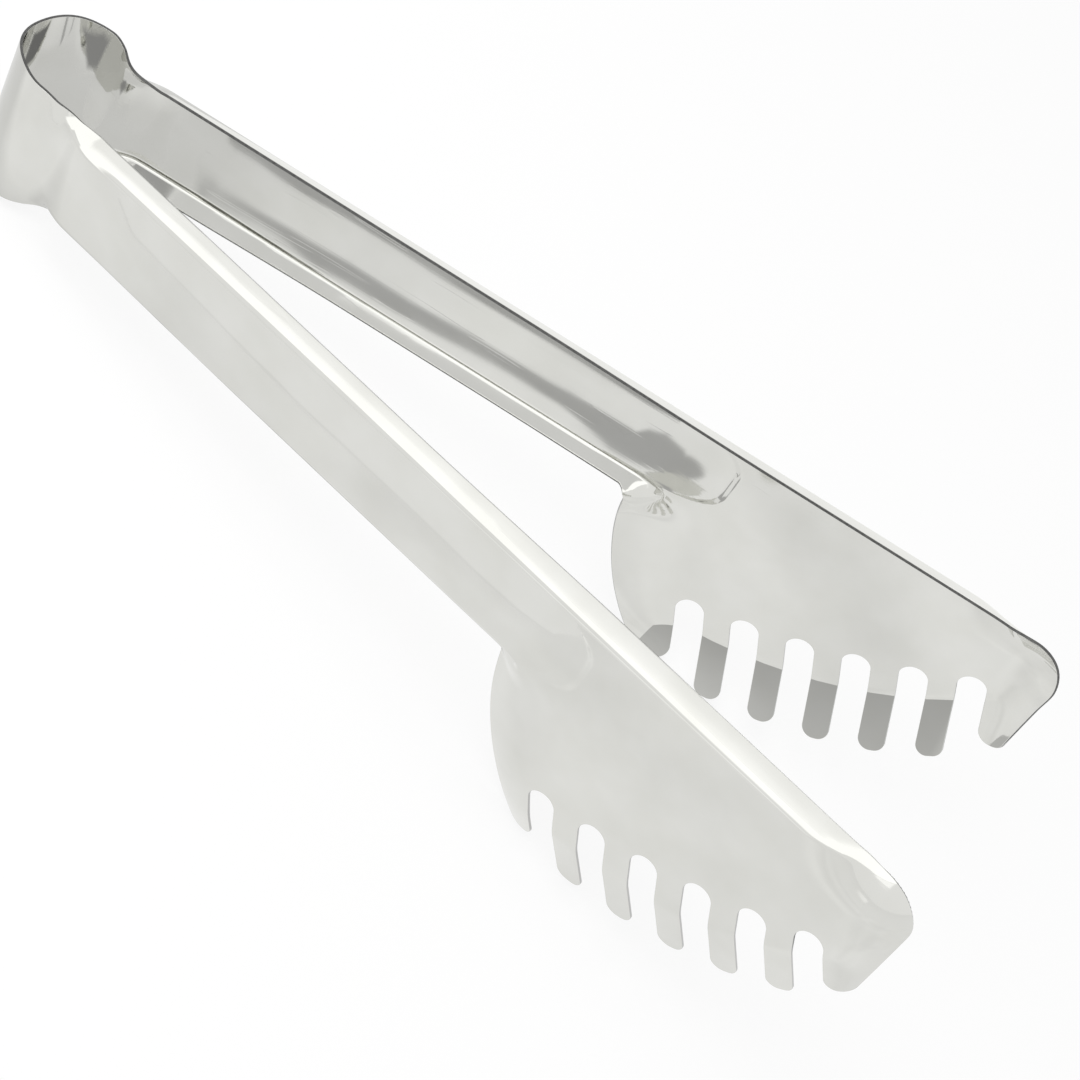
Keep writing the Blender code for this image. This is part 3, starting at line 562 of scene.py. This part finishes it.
def head_outline():
    """The comb head from the back edge round the teeth to the end of the top flange, as (s, z)."""
    points = []
    low = -(WEB_DROP + BOTTOM_FLANGE_DROP)
    drop = BACK_ARC_DEPTH + low
    top_s = BACK_ARC_S - math.sqrt(BACK_ARC_RADIUS ** 2 - drop ** 2)
    below = low - BACK_FILLET
    turn_s = BACK_ARC_S - math.sqrt(BACK_ARC_RADIUS ** 2 - (BACK_ARC_DEPTH + below) ** 2)
    points += round_corner((top_s - BACK_FILLET, low), (top_s, low), (turn_s, below), BACK_FILLET)
    half = SLOT_WIDTH / 2
    first_side = FIRST_SLOT - half
    tip_along = tip_line(first_side - FIRST_TOOTH_TIP_WIDTH / 2) - FIRST_TOOTH_SHORTFALL
    end_s, end_z = blank_point(first_side - FIRST_TOOTH_TIP_WIDTH, tip_along)
    start_angle = math.atan2(points[-1][1] + BACK_ARC_DEPTH, points[-1][0] - BACK_ARC_S)
    end_angle = math.atan2(end_z + BACK_ARC_DEPTH, end_s - BACK_ARC_S)
    sweep = (end_angle - start_angle) % (2.0 * math.pi)
    count = max(3, math.ceil(sweep * BACK_ARC_RADIUS / ARC_STEP))
    back = [(BACK_ARC_S + BACK_ARC_RADIUS * math.cos(start_angle + sweep * i / count),
             -BACK_ARC_DEPTH + BACK_ARC_RADIUS * math.sin(start_angle + sweep * i / count))
            for i in range(1, count + 1)]
    corner_a = back[-1]
    corner_b = blank_point(first_side, tip_along)
    inner = blank_point(first_side, slot_top(FIRST_SLOT) + half)
    first_arc = round_corner(back[-CORNER_LEAD_POINTS], corner_a, corner_b, TOOTH_END_RADIUS)
    points += [p for p in back[:-1] if math.dist(p, corner_a) > math.dist(first_arc[0], corner_a)]
    points += first_arc
    points += round_corner(corner_a, corner_b, inner, TOOTH_END_RADIUS)
    for index in range(SLOT_COUNT):
        middle = FIRST_SLOT + index * SLOT_PITCH
        centre = slot_top(middle) + half
        steps = math.ceil(180.0 / ROUND_STEP_DEG)
        for i in range(steps + 1):
            angle = math.pi * i / steps
            points.append(blank_point(middle - half * math.cos(angle), centre - half * math.sin(angle)))
        if index < SLOT_COUNT - 1:
            left = middle + half
            right = middle + SLOT_PITCH - half
            a = blank_point(left, centre)
            b = blank_point(left, tip_line(left))
            c = blank_point(right, tip_line(right))
            d = blank_point(right, slot_top(middle + SLOT_PITCH) + half)
            points += round_corner(a, b, c, TOOTH_END_RADIUS)
            points += round_corner(b, c, d, TOOTH_END_RADIUS)
    tip = (LAST_TIP_S, LAST_TIP_Z)
    front = (ARM_REACH, LAST_TIP_Z + LAST_TOOTH_WIDTH * math.tan(SLANT))
    upper = blank_point(LAST_SLOT_SIDE, slot_top(LAST_SLOT_SIDE) + half)
    top = WEB_RISE + TOP_FLANGE_RISE
    crown = (ARM_REACH, top)
    points += round_corner(upper, tip, front, LAST_TOOTH_TIP_RADIUS)
    points += round_corner(tip, front, crown, LAST_TOOTH_TIP_RADIUS)
    points += round_corner(front, crown, (ARM_REACH - 2 * TIP_CORNER_RADIUS, top), TIP_CORNER_RADIUS)
    return points


def cleaned(points):
    """Drop points that fall on top of the one before."""
    kept = []
    for point in points:
        if not kept or math.dist(point, kept[-1]) > SAME_POINT:
            kept.append(point)
    return kept


def spaced(start, stop, step):
    """Even places from start to stop, no further apart than a step."""
    count = max(1, math.ceil((stop - start) / step))
    return [start + (stop - start) * i / count for i in range(count + 1)]


def strip_outline():
    """Half the strip, from the middle of the bow round the comb head and back, as (u, z)."""
    neck_stop = max(TOP_TAPER_START + TOP_TAPER_RUN, BOTTOM_TAPER_START + BOTTOM_TAPER_RUN) - U_TO_S
    stations = spaced(0.0, neck_stop, BOW_CELL / 2)
    lower = [(u, edge_bottom(u)) for u in stations]
    upper = [(u, edge_top(u)) for u in reversed(stations)]
    head = [(s - U_TO_S, z) for s, z in head_outline()]
    return cleaned(lower + head + upper)


def pick(obj, faces=None, edges=None):
    """In edit mode, select the faces or edges that a test names."""
    shape = bmesh.from_edit_mesh(obj.data)
    bpy.ops.mesh.select_all(action="DESELECT")
    for part, test in ((shape.faces, faces), (shape.edges, edges)):
        if test is not None:
            for item in part:
                if test(item):
                    item.select_set(True)
    shape.select_flush_mode()
    bmesh.update_edit_mesh(obj.data)


def on_rim(edge):
    """True for an edge between a flat side and the sheared edge, away from the seam in the bow."""
    if len(edge.link_faces) != 2:
        return False
    flats = sum(abs(face.normal.z) > SIDE_FACING for face in edge.link_faces)
    return flats == 1 and max(vert.co.x for vert in edge.verts) > WELD


def cut_blank(name):
    """Half the strip as a flat sheet with a rounded sheared edge."""
    curve = bpy.data.curves.new(name, "CURVE")
    curve.dimensions = "2D"
    curve.fill_mode = "BOTH"
    curve.extrude = SHEET / 2
    outline = strip_outline()
    spline = curve.splines.new("POLY")
    spline.points.add(len(outline) - 1)
    for point, (u, z) in zip(spline.points, outline):
        point.co = (u, z, 0.0, 1.0)
    spline.use_cyclic_u = True
    blank = bpy.data.objects.new(name, curve)
    bpy.context.scene.collection.objects.link(blank)
    bpy.ops.object.select_all(action="DESELECT")
    blank.select_set(True)
    bpy.context.view_layer.objects.active = blank
    bpy.ops.object.convert(target="MESH")
    blank = bpy.context.view_layer.objects.active
    bpy.ops.object.mode_set(mode="EDIT")
    bpy.ops.mesh.select_mode(type="FACE")
    bpy.ops.mesh.select_all(action="SELECT")
    bpy.ops.mesh.remove_doubles(threshold=WELD)
    for way in (1.0, -1.0):
        pick(blank, faces=lambda face: face.normal.z * way > SIDE_FACING)
        bpy.ops.mesh.dissolve_faces()
    bpy.ops.mesh.select_mode(type="EDGE")
    pick(blank, edges=on_rim)
    bpy.ops.mesh.bevel(offset=EDGE_ROUND, segments=EDGE_SEGMENTS, affect="EDGES")
    return blank


def score(blank, place, way, test=None):
    """In edit mode, score the sheet along a straight line, or only the faces that a test names."""
    if test is None:
        bpy.ops.mesh.select_all(action="SELECT")
    else:
        pick(blank, faces=test)
    bpy.ops.mesh.bisect(plane_co=(place[0], place[1], 0.0), plane_no=(way[0], way[1], 0.0), threshold=WELD)


def score_grid(blank):
    """Score the lines that let the sheet bend: close together in the bow, the folds and the comb."""
    fold = math.radians(HEAD_FLANGE_FOLD_DEG)
    lead = FOLD_RADIUS * math.tan(fold / 2)
    bend = FOLD_RADIUS * math.sin(fold)
    folds = [bend * i / FOLD_CELLS - lead for i in range(FOLD_CELLS + 1)]
    slack = WEB_DROP - NECK_WEB_DROP
    lowest = min(z for _, z in strip_outline())
    levels = spaced(slack - WEB_DROP + lead, WEB_RISE - lead, HEAD_CELL)
    levels += [WEB_RISE + z for z in folds] + [(WEB_RISE + bend - lead + WEB_RISE + TOP_FLANGE_RISE) / 2]
    levels += [slack - WEB_DROP - z for z in spaced(-lead, bend - lead + slack, bend / FOLD_CELLS)]
    levels += spaced(lowest, -(WEB_DROP + bend - lead), HEAD_CELL)[1:-1]
    fine, head = FINE_START - U_TO_S, FINE_STOP - U_TO_S
    trough = TROUGH_START + TROUGH_START_RUN - U_TO_S
    stations = spaced(0.0, NECK_END_U, BOW_CELL)[1:] + spaced(NECK_END_U, trough, ARM_CELL / 2)[1:]
    stations += spaced(trough, fine, ARM_CELL)[1:] + spaced(fine, head, FINE_CELL)[1:]
    stations += spaced(head, ARM_REACH - U_TO_S, HEAD_CELL)[1:-1]
    levels = sorted(set(levels))
    for z in levels:
        score(blank, (0.0, z), (0.0, 1.0))
    for u in stations:
        score(blank, (u, 0.0), (1.0, 0.0))
    bpy.ops.mesh.select_mode(type="FACE")
    for low, high in zip(levels, levels[1:]):
        for z in spaced(low, high, FINE_CELL)[1:-1]:
            score(blank, (0.0, z), (0.0, 1.0), lambda face: fine < face.calc_center_median().x < head)
    left = ARM_REACH - CORNER_DISH_LEAD - U_TO_S
    low = WEB_RISE + TOP_FLANGE_RISE - TIP_CORNER_RADIUS - FRONT_DISH_RUN

    def in_corner(face):
        centre = face.calc_center_median()
        return centre.x > left and centre.y > low

    for z in spaced(low, WEB_RISE + TOP_FLANGE_RISE, FINE_CELL)[:-1]:
        score(blank, (0.0, z), (0.0, 1.0), in_corner)
    for u in spaced(left, ARM_REACH - U_TO_S, FINE_CELL)[:-1]:
        score(blank, (u, 0.0), (1.0, 0.0), in_corner)


def score_teeth(blank):
    """Score each tooth across the start of its bend."""
    half = SLOT_WIDTH / 2
    way = (math.sin(SLANT), -math.cos(SLANT))
    for index in range(-1, SLOT_COUNT):
        left = FIRST_SLOT + index * SLOT_PITCH + half
        right = left + SLOT_PITCH - SLOT_WIDTH
        middle = (left + right) / 2
        bend_line = tip_line(middle) - TOOTH_BEND_LENGTH
        for i in range(BEND_CELLS + 1):
            along = bend_line + TOOTH_BEND_RADIUS * (2.0 * i / BEND_CELLS - 1.0)
            place = blank_point(middle, along)

            def in_tooth(face):
                centre = face.calc_center_median()
                across, down = comb_frame(centre.x + U_TO_S, centre.y)
                return left - half < across < right + half and abs(down - along) < BEND_SCORE_REACH

            score(blank, (place[0] - U_TO_S, place[1]), way, in_tooth)


def flat_normals(mesh):
    """A normal for each point of the flat blank: square to the sheet on its faces, turning over its round edge."""
    count = len(mesh.vertices)
    around = np.zeros((count, 2))
    for face in mesh.polygons:
        if abs(face.normal.z) < FLAT_FACING:
            for index in face.vertices:
                around[index] += (face.normal.x * face.area, face.normal.y * face.area)
    length = np.linalg.norm(around, axis=1)
    around[length > 0] /= length[length > 0][:, None]
    off = np.array([vert.co.z for vert in mesh.vertices])
    over = np.clip((np.abs(off) - (SHEET / 2 - EDGE_ROUND)) / EDGE_ROUND, 0.0, 1.0)
    over[length == 0] = 1.0
    return np.c_[around * np.sqrt(1.0 - over ** 2)[:, None], over * np.sign(off)]


def press(blank, side, turn, shift, finishes):
    """Press a flat blank to its final shape and place."""
    mesh = blank.data
    flat = np.array([vert.co[:] for vert in mesh.vertices])
    edge_faces = [abs(face.normal.z) < SIDE_FACING for face in mesh.polygons]
    strip_uv = mesh.uv_layers.new(name="strip")
    corners = np.zeros(len(mesh.loops), int)
    mesh.loops.foreach_get("vertex_index", corners)
    strip_uv.data.foreach_set("uv", (flat[corners, :2] + (0.5 * side, 0.0)).ravel())
    places, normals = pressed(flat, flat_normals(mesh), side)
    mesh.vertices.foreach_set("co", (places @ turn.T + shift).ravel())
    if side > 0:
        mesh.flip_normals()
    for finish in finishes:
        mesh.materials.append(finish)
    for face, sheared in zip(mesh.polygons, edge_faces):
        face.use_smooth = True
        face.material_index = int(sheared)
    mesh.update()
    mesh.normals_split_custom_set_from_vertices([Vector(n) for n in normals @ turn.T])
    return blank


def frame_placing():
    """The turn and shift that set the strip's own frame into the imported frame, from the near arm's hinge."""
    hinge = next(j for j in frame["record"]["behaviour"]["joints"] if j["name"] == "near_arm_close")
    axis = np.array(hinge["axis"])
    tilt = math.atan2(-axis[0], axis[2])
    turn = np.array([[math.cos(tilt), 0.0, -math.sin(tilt)],
                     [0.0, 1.0, 0.0],
                     [math.sin(tilt), 0.0, math.cos(tilt)]])
    pivot = np.array([LOOP_TO_CROSSING, -LOOP_HALF_WIDTH * HINGE_RADIUS, 0.0])
    return turn, np.array(hinge["pos_m"]) - turn @ pivot


def add_node(tree, kind, values=(), **settings):
    """A shader node with its settings and the values of its sockets."""
    made = tree.nodes.new(kind)
    for name, value in settings.items():
        setattr(made, name, value)
    for name, value in dict(values).items():
        made.inputs[name].default_value = value
    return made


def grain(tree, coords, scale, detail, stretch=(1.0, 1.0, 1.0)):
    """Noise over the sheet, stretched along it where asked."""
    spread = add_node(tree, "ShaderNodeMapping", {"Scale": stretch})
    noise = add_node(tree, "ShaderNodeTexNoise",
                     {"Scale": scale, "Detail": detail, "Roughness": GRAIN_ROUGHNESS})
    tree.links.new(coords, spread.inputs["Vector"])
    tree.links.new(spread.outputs["Vector"], noise.inputs["Vector"])
    return noise.outputs["Fac"]


def between(tree, value, low, high, start=0.0, stop=1.0):
    """A value spread to a new range."""
    spread = add_node(tree, "ShaderNodeMapRange",
                      {"From Min": start, "From Max": stop, "To Min": low, "To Max": high})
    tree.links.new(value, spread.inputs["Value"])
    return spread.outputs["Result"]


def relief(tree, height, distance, under=None):
    """A bump of some metres of height, laid over another one."""
    bump = add_node(tree, "ShaderNodeBump", {"Strength": 1.0, "Distance": distance})
    tree.links.new(height, bump.inputs["Height"])
    if under is not None:
        tree.links.new(under, bump.inputs["Normal"])
    return bump.outputs["Normal"]


def between_colours(tree, share, dark, light):
    """A colour between two others; the first may come from another node."""
    tone = add_node(tree, "ShaderNodeMix", data_type="RGBA")
    tree.links.new(share, tone.inputs[0])
    if isinstance(dark, tuple):
        tone.inputs[6].default_value = dark
    else:
        tree.links.new(dark, tone.inputs[6])
    tone.inputs[7].default_value = light
    return tone.outputs[2]


def new_material(name):
    """A material with its node tree and its main shader."""
    material = bpy.data.materials.new(name)
    material.use_nodes = True
    return material, material.node_tree, material.node_tree.nodes["Principled BSDF"]


def polished_steel():
    """Polished stainless sheet: slow waviness from rolling, fine polishing lines along it, hairline scratches."""
    material, tree, shader = new_material("polished_stainless_sheet")
    shader.inputs["Metallic"].default_value = 1.0
    place = add_node(tree, "ShaderNodeTexCoord").outputs["Object"]
    strip = add_node(tree, "ShaderNodeUVMap", uv_map="strip").outputs["UV"]
    hairlines = between(tree, grain(tree, strip, *SCRATCH_GRAIN), 1.0, 0.0, *SCRATCH_SHARE)
    normal = relief(tree, grain(tree, place, *WAVE_GRAIN), WAVE_HEIGHT)
    normal = relief(tree, grain(tree, strip, *LINE_GRAIN), LINE_HEIGHT, normal)
    normal = relief(tree, hairlines, SCRATCH_HEIGHT, normal)
    tree.links.new(normal, shader.inputs["Normal"])
    blotches = between(tree, grain(tree, place, *BLOTCH_GRAIN), 0.0, 1.0, *GRAIN_MIDDLE)
    tree.links.new(between_colours(tree, blotches, STEEL_DARK, STEEL_LIGHT), shader.inputs["Base Color"])
    smears = between(tree, grain(tree, strip, *SMEAR_GRAIN), *STEEL_ROUGHNESS, *GRAIN_MIDDLE)
    tree.links.new(smears, shader.inputs["Roughness"])
    return material


def sheared_edge():
    """The cut edge: duller than the polished faces, with the fine marks of the shear, and brighter on the comb."""
    material, tree, shader = new_material("sheared_sheet_edge")
    shader.inputs["Metallic"].default_value = 1.0
    marks = grain(tree, add_node(tree, "ShaderNodeTexCoord").outputs["Object"], *MARK_GRAIN)
    sides = add_node(tree, "ShaderNodeSeparateXYZ")
    tree.links.new(add_node(tree, "ShaderNodeUVMap", uv_map="strip").outputs["UV"], sides.inputs[0])
    tone = between_colours(tree, marks, SHEARED_DARK, SHEARED_LIGHT)
    tone = between_colours(tree, between(tree, sides.outputs["Y"], 1.0, 0.0, *COMB_EDGE), tone, SHEARED_COMB)
    tree.links.new(tone, shader.inputs["Base Color"])
    tree.links.new(between(tree, marks, *SHEARED_ROUGHNESS), shader.inputs["Roughness"])
    tree.links.new(relief(tree, marks, MARK_HEIGHT), shader.inputs["Normal"])
    return material


def add_strip(turn, shift):
    """Both halves of the strip, each pressed round the bow from its middle to its neck."""
    finishes = (polished_steel(), sheared_edge())
    blank = cut_blank("near_half_strip")
    score_grid(blank)
    score_teeth(blank)
    bpy.ops.mesh.select_all(action="SELECT")
    bpy.ops.mesh.quads_convert_to_tris(quad_method="BEAUTY", ngon_method="BEAUTY")
    bpy.ops.object.mode_set(mode="OBJECT")
    other = bpy.data.objects.new("far_half_strip", blank.data.copy())
    bpy.context.scene.collection.objects.link(other)
    for half, side, body, arm in ((blank, -1.0, "near_side", "near_arm"), (other, 1.0, "far_side", "far_arm")):
        press(half, side, turn, shift, finishes)
        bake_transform(half)
        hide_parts(arm, "spring_bow")


def combined(tree, operation, one, two):
    """Two values put together; the second may be a plain number."""
    sum_node = add_node(tree, "ShaderNodeMath", operation=operation)
    tree.links.new(one, sum_node.inputs[0])
    if isinstance(two, float):
        sum_node.inputs[1].default_value = two
    else:
        tree.links.new(two, sum_node.inputs[1])
    return sum_node.outputs[0]


def mixed(tree, share, under, over):
    """Two looks mixed by a share."""
    mix = add_node(tree, "ShaderNodeMixShader")
    for socket, value in zip(mix.inputs, (share, under, over)):
        tree.links.new(value, socket)
    return mix.outputs[0]


def glow(tree, level):
    """White at an even level."""
    return add_node(tree, "ShaderNodeEmission", {"Color": (1.0, 1.0, 1.0, 1.0), "Strength": level})


def floor_point(turn, shift, x, y):
    """A point just over the floor, from its place along and across the strip's own frame."""
    return (x, y, (CARD_LIFT - shift[2] - x * turn[2, 0]) / turn[2, 2])


def add_card(name, corners, level, turn, shift, faces=None, one_sided=False, soft=0.0, fades=None):
    """A card of an even level that only the steel sees, so its glow paints highlights and shade into the steel's
    reflections; a one-sided card only shows the side its corners go round.

    A soft card fades out towards its border, and fades give how solid it is at each corner.
    """
    corners = [floor_point(turn, shift, *corner) if len(corner) == 2 else corner for corner in corners]
    faces = faces or [tuple(range(len(corners)))]
    mesh = bpy.data.meshes.new(name)
    mesh.from_pydata([tuple(turn @ np.array(corner) + shift) for corner in corners], [], faces)
    card = bpy.data.objects.new(name, mesh)
    bpy.context.scene.collection.objects.link(card)
    if soft:
        bpy.ops.object.select_all(action="DESELECT")
        card.select_set(True)
        bpy.context.view_layer.objects.active = card
        bpy.ops.object.mode_set(mode="EDIT")
        bpy.ops.mesh.select_mode(type="FACE")
        bpy.ops.mesh.select_all(action="SELECT")
        bpy.ops.mesh.inset(thickness=soft)
        bpy.ops.object.mode_set(mode="OBJECT")
        fades = [float(index >= len(corners)) for index in range(len(mesh.vertices))]
    material, tree, _ = new_material(name)
    look = glow(tree, level).outputs[0]
    clear = add_node(tree, "ShaderNodeBsdfTransparent").outputs[0]
    if fades:
        mesh.attributes.new("fade", "FLOAT", "POINT").data.foreach_set("value", fades)
        fade = add_node(tree, "ShaderNodeAttribute", attribute_name="fade")
        look = mixed(tree, fade.outputs["Fac"], clear, look)
    if one_sided:
        look = mixed(tree, add_node(tree, "ShaderNodeNewGeometry").outputs["Backfacing"], look, clear)
    tree.links.new(look, tree.nodes["Material Output"].inputs["Surface"])
    mesh.materials.append(material)
    card.visible_camera = False
    card.visible_diffuse = False
    card.visible_shadow = False


def add_teeth_card(turn, shift):
    """A dark card of painted shade that starts along the bend of the far teeth and runs forwards down to the floor.
    """
    spread = math.radians(ARM_SPREAD_DEG)
    way = np.array(TEETH_CARD_WAY)
    corners = []
    for across in spaced(FIRST_SLOT - SLOT_WIDTH, LAST_SLOT_SIDE, SLOT_PITCH / 2):
        s, z = blank_point(across, tip_line(across) - TOOTH_BEND_LENGTH + TEETH_CARD_LEAD)
        top = np.array([s * math.cos(spread) + SHEET * math.sin(spread),
                        s * math.sin(spread) - SHEET * math.cos(spread), z])
        height = (turn @ top + shift)[2] - CARD_LIFT
        corners += [tuple(top), tuple(top + way * height / -(turn @ way)[2])]
    faces = [(i, i + 2, i + 3, i + 1) for i in range(0, len(corners) - 2, 2)]
    fades = [1.0, TEETH_CARD_END] * (len(corners) // 2 - 1) + [1.0, 0.0]
    add_card("teeth_shade_card", corners, TEETH_SHADE_LEVEL, turn, shift, faces, one_sided=True, fades=fades)


def pale_floor():
    """White to the eye and in the steel; it keeps a soft shadow."""
    material, tree, shader = new_material("pale_floor")
    shader.inputs["Base Color"].default_value = (FLOOR_TONE, FLOOR_TONE, FLOOR_TONE, 1.0)
    shader.inputs["Roughness"].default_value = FLOOR_ROUGHNESS
    shader.inputs["Specular IOR Level"].default_value = 0.0
    path = add_node(tree, "ShaderNodeLightPath")
    reflected = combined(tree, "MAXIMUM", path.outputs["Is Glossy Ray"], path.outputs["Is Transmission Ray"])
    share = between(tree, reflected, 0.0, FLOOR_IN_THE_STEEL)
    place = add_node(tree, "ShaderNodeTexCoord").outputs["Object"]
    sides = add_node(tree, "ShaderNodeSeparateXYZ")
    tree.links.new(place, sides.inputs[0])
    away = add_node(tree, "ShaderNodeVectorMath", operation="LENGTH")
    tree.links.new(place, away.inputs[0])
    clouds = between(tree, grain(tree, place, *CLOUD_GRAIN), -CLOUD_LEVEL, CLOUD_LEVEL, *GRAIN_MIDDLE)
    clouds = combined(tree, "MULTIPLY", clouds, between(tree, away.outputs["Value"], 1.0, 0.0, *CLOUD_REACH))
    along = between(tree, sides.outputs["X"], SHADE_LEVEL, 0.0, *SHADE_ALONG)
    across = between(tree, sides.outputs["Y"], 1.0, 0.0, *SHADE_ACROSS)
    shade = combined(tree, "MULTIPLY", along, across)
    level = combined(tree, "SUBTRACT", combined(tree, "ADD", clouds, FLOOR_LEVEL), shade)
    mirrored = glow(tree, 1.0)
    tree.links.new(level, mirrored.inputs["Strength"])
    look = mixed(tree, share, shader.outputs[0], mirrored.outputs[0])
    share = between(tree, path.outputs["Is Camera Ray"], 0.0, FLOOR_TO_THE_EYE)
    look = mixed(tree, share, look, glow(tree, 1.0).outputs[0])
    tree.links.new(look, tree.nodes["Material Output"].inputs["Surface"])
    return material


def add_studio(turn, shift):
    """A pale floor that runs off to white, and soft even light."""
    bpy.ops.mesh.primitive_plane_add(size=FLOOR_SIZE, location=(0.0, 0.0, 0.0))
    floor = bpy.context.active_object
    floor.name = "floor"
    floor.data.materials.append(pale_floor())

    world = bpy.data.worlds.new("studio")
    bpy.context.scene.world = world
    world.use_nodes = True
    tree = world.node_tree
    sky = tree.nodes["Background"]
    sky.inputs["Color"].default_value = (1.0, 1.0, 1.0, 1.0)
    sky.inputs["Strength"].default_value = SKY_LIGHT
    white = add_node(tree, "ShaderNodeBackground", {"Color": (1.0, 1.0, 1.0, 1.0), "Strength": 1.0})
    path = add_node(tree, "ShaderNodeLightPath")
    seen = combined(tree, "MAXIMUM", path.outputs["Is Camera Ray"], path.outputs["Is Glossy Ray"])
    seen = combined(tree, "MAXIMUM", seen, path.outputs["Is Transmission Ray"])
    look = mixed(tree, seen, sky.outputs[0], white.outputs[0])
    tree.links.new(look, tree.nodes["World Output"].inputs["Surface"])

    lamp = bpy.data.lights.new("top_softbox", "AREA")
    lamp.shape = "RECTANGLE"
    lamp.size, lamp.size_y = TOP_LAMP_SIZE
    lamp.energy = TOP_LAMP_WATTS
    holder = bpy.data.objects.new("top_softbox", lamp)
    bpy.context.scene.collection.objects.link(holder)
    place = turn @ np.array(TOP_LAMP_PLACE) + shift
    holder.location = place
    aim = Vector(turn @ np.array(TOP_LAMP_AIM) + shift) - Vector(place)
    holder.rotation_euler = aim.to_track_quat("-Z", "Y").to_euler()
    holder.visible_camera = False
    holder.visible_glossy = False


def level_card(plan, height):
    """The corners of a card that lies level with the strip."""
    return [(x, y, height) for x, y in plan]


def lifted_shade_band(turn, shift):
    """The corners of the band card, a painted shadow: they leave the floor towards the comb head, leaning back and
    over as they rise.
    """
    low, high = BAND_LIFT_ALONG
    lean, lean_end = BAND_LEAN_OVER
    corners = []
    for x, y in BAND_CARD:
        share = float(smooth((x - low) / (high - low)))
        move = np.array([BAND_LEAN_BACK, lean + (lean_end - lean) * share, 1.0]) * BAND_LIFT * share
        corners.append(np.array(floor_point(turn, shift, x, y)) + move)
    return corners


def add_cards(turn, shift):
    """All the cards that paint highlights and shade into the steel, from the large panels to the small cards close
    to the steel.
    """
    ridge = [(x, y, floor_point(turn, shift, x, y)[2] + CARD_LIFT) for x, y in RIDGE_CARD]
    for name, corners, level, one_sided, soft in (
            ("top_panel", TOP_PANEL, TOP_PANEL_LEVEL, False, 0.0),
            ("front_panel", FRONT_PANEL, FRONT_PANEL_LEVEL, False, FRONT_PANEL_SOFT),
            ("flange_card", level_card(FLANGE_CARD, OVER_FLANGE), FLANGE_CARD_LEVEL, False, 0.0),
            ("start_card", START_CARD, START_CARD_LEVEL, True, START_CARD_SOFT),
            ("rim_card", level_card(RIM_CARD, OVER_FLANGE), RIM_CARD_LEVEL, False, RIM_CARD_SOFT),
            ("behind_panel", BEHIND_PANEL, BEHIND_PANEL_LEVEL, False, 0.0),
            ("behind_card", BEHIND_CARD, BEHIND_CARD_LEVEL, False, 0.0),
            ("flange_start_shade_card", level_card(FLANGE_START_CARD, OVER_FLANGE), FLANGE_START_SHADE_LEVEL, False, 0.0),
            ("band_shade_card", lifted_shade_band(turn, shift), BAND_SHADE_LEVEL, False, BAND_CARD_SOFT),
            ("line_shade_card", LINE_CARD, LINE_SHADE_LEVEL, False, 0.0),
            ("bow_shade_card", level_card(BOW_CARD, IN_BOW), BOW_SHADE_LEVEL, False, BOW_CARD_SOFT),
            ("far_wall_shade_card", FAR_WALL_CARD, FAR_WALL_SHADE_LEVEL, True, FAR_WALL_SOFT),
            ("near_wall_shade_card", NEAR_WALL_CARD, NEAR_WALL_SHADE_LEVEL, True, NEAR_WALL_SOFT),
            ("glare_card", GLARE_CARD, GLARE_CARD_LEVEL, False, GLARE_CARD_SOFT),
            ("beyond_card", BEYOND_CARD, BEYOND_CARD_LEVEL, False, 0.0),
            ("ridge_card", ridge, RIDGE_CARD_LEVEL, False, 0.0)):
        add_card(name, corners, level, turn, shift, one_sided=one_sided, soft=soft)
    add_teeth_card(turn, shift)


def add_camera(turn, shift):
    """The photograph's view."""
    azimuth, height, roll = (math.radians(a) for a in (VIEW_AZIMUTH_DEG, VIEW_HEIGHT_DEG, VIEW_ROLL_DEG))
    back = np.array([math.sin(azimuth) * math.cos(height), -math.cos(azimuth) * math.cos(height),
                     math.sin(height)])
    right = np.cross(-back, [0.0, 0.0, 1.0])
    right /= np.linalg.norm(right)
    up = np.cross(right, -back)
    rolled_right = math.cos(roll) * right + math.sin(roll) * up
    rolled_up = -math.sin(roll) * right + math.cos(roll) * up
    data = bpy.data.cameras.new("photo_view")
    data.sensor_width = SENSOR_MM
    data.lens = FOCAL_TO_WIDTH * SENSOR_MM
    camera = bpy.data.objects.new("photo_view", data)
    bpy.context.scene.collection.objects.link(camera)
    place = Matrix.Identity(4)
    for column, axis in enumerate((rolled_right, rolled_up, back)):
        for row, value in enumerate(turn @ axis):
            place[row][column] = value
    place.translation = Vector(turn @ np.array(VIEW_PLACE) + shift)
    camera.matrix_world = place
    data.clip_start = VIEW_CLIP
    bpy.context.scene.camera = camera


def main():
    bpy.ops.object.select_all(action="DESELECT")
    turn, shift = frame_placing()
    add_strip(turn, shift)
    add_studio(turn, shift)
    add_cards(turn, shift)
    add_camera(turn, shift)
    bpy.context.scene.view_settings.view_transform = "Standard"


main()
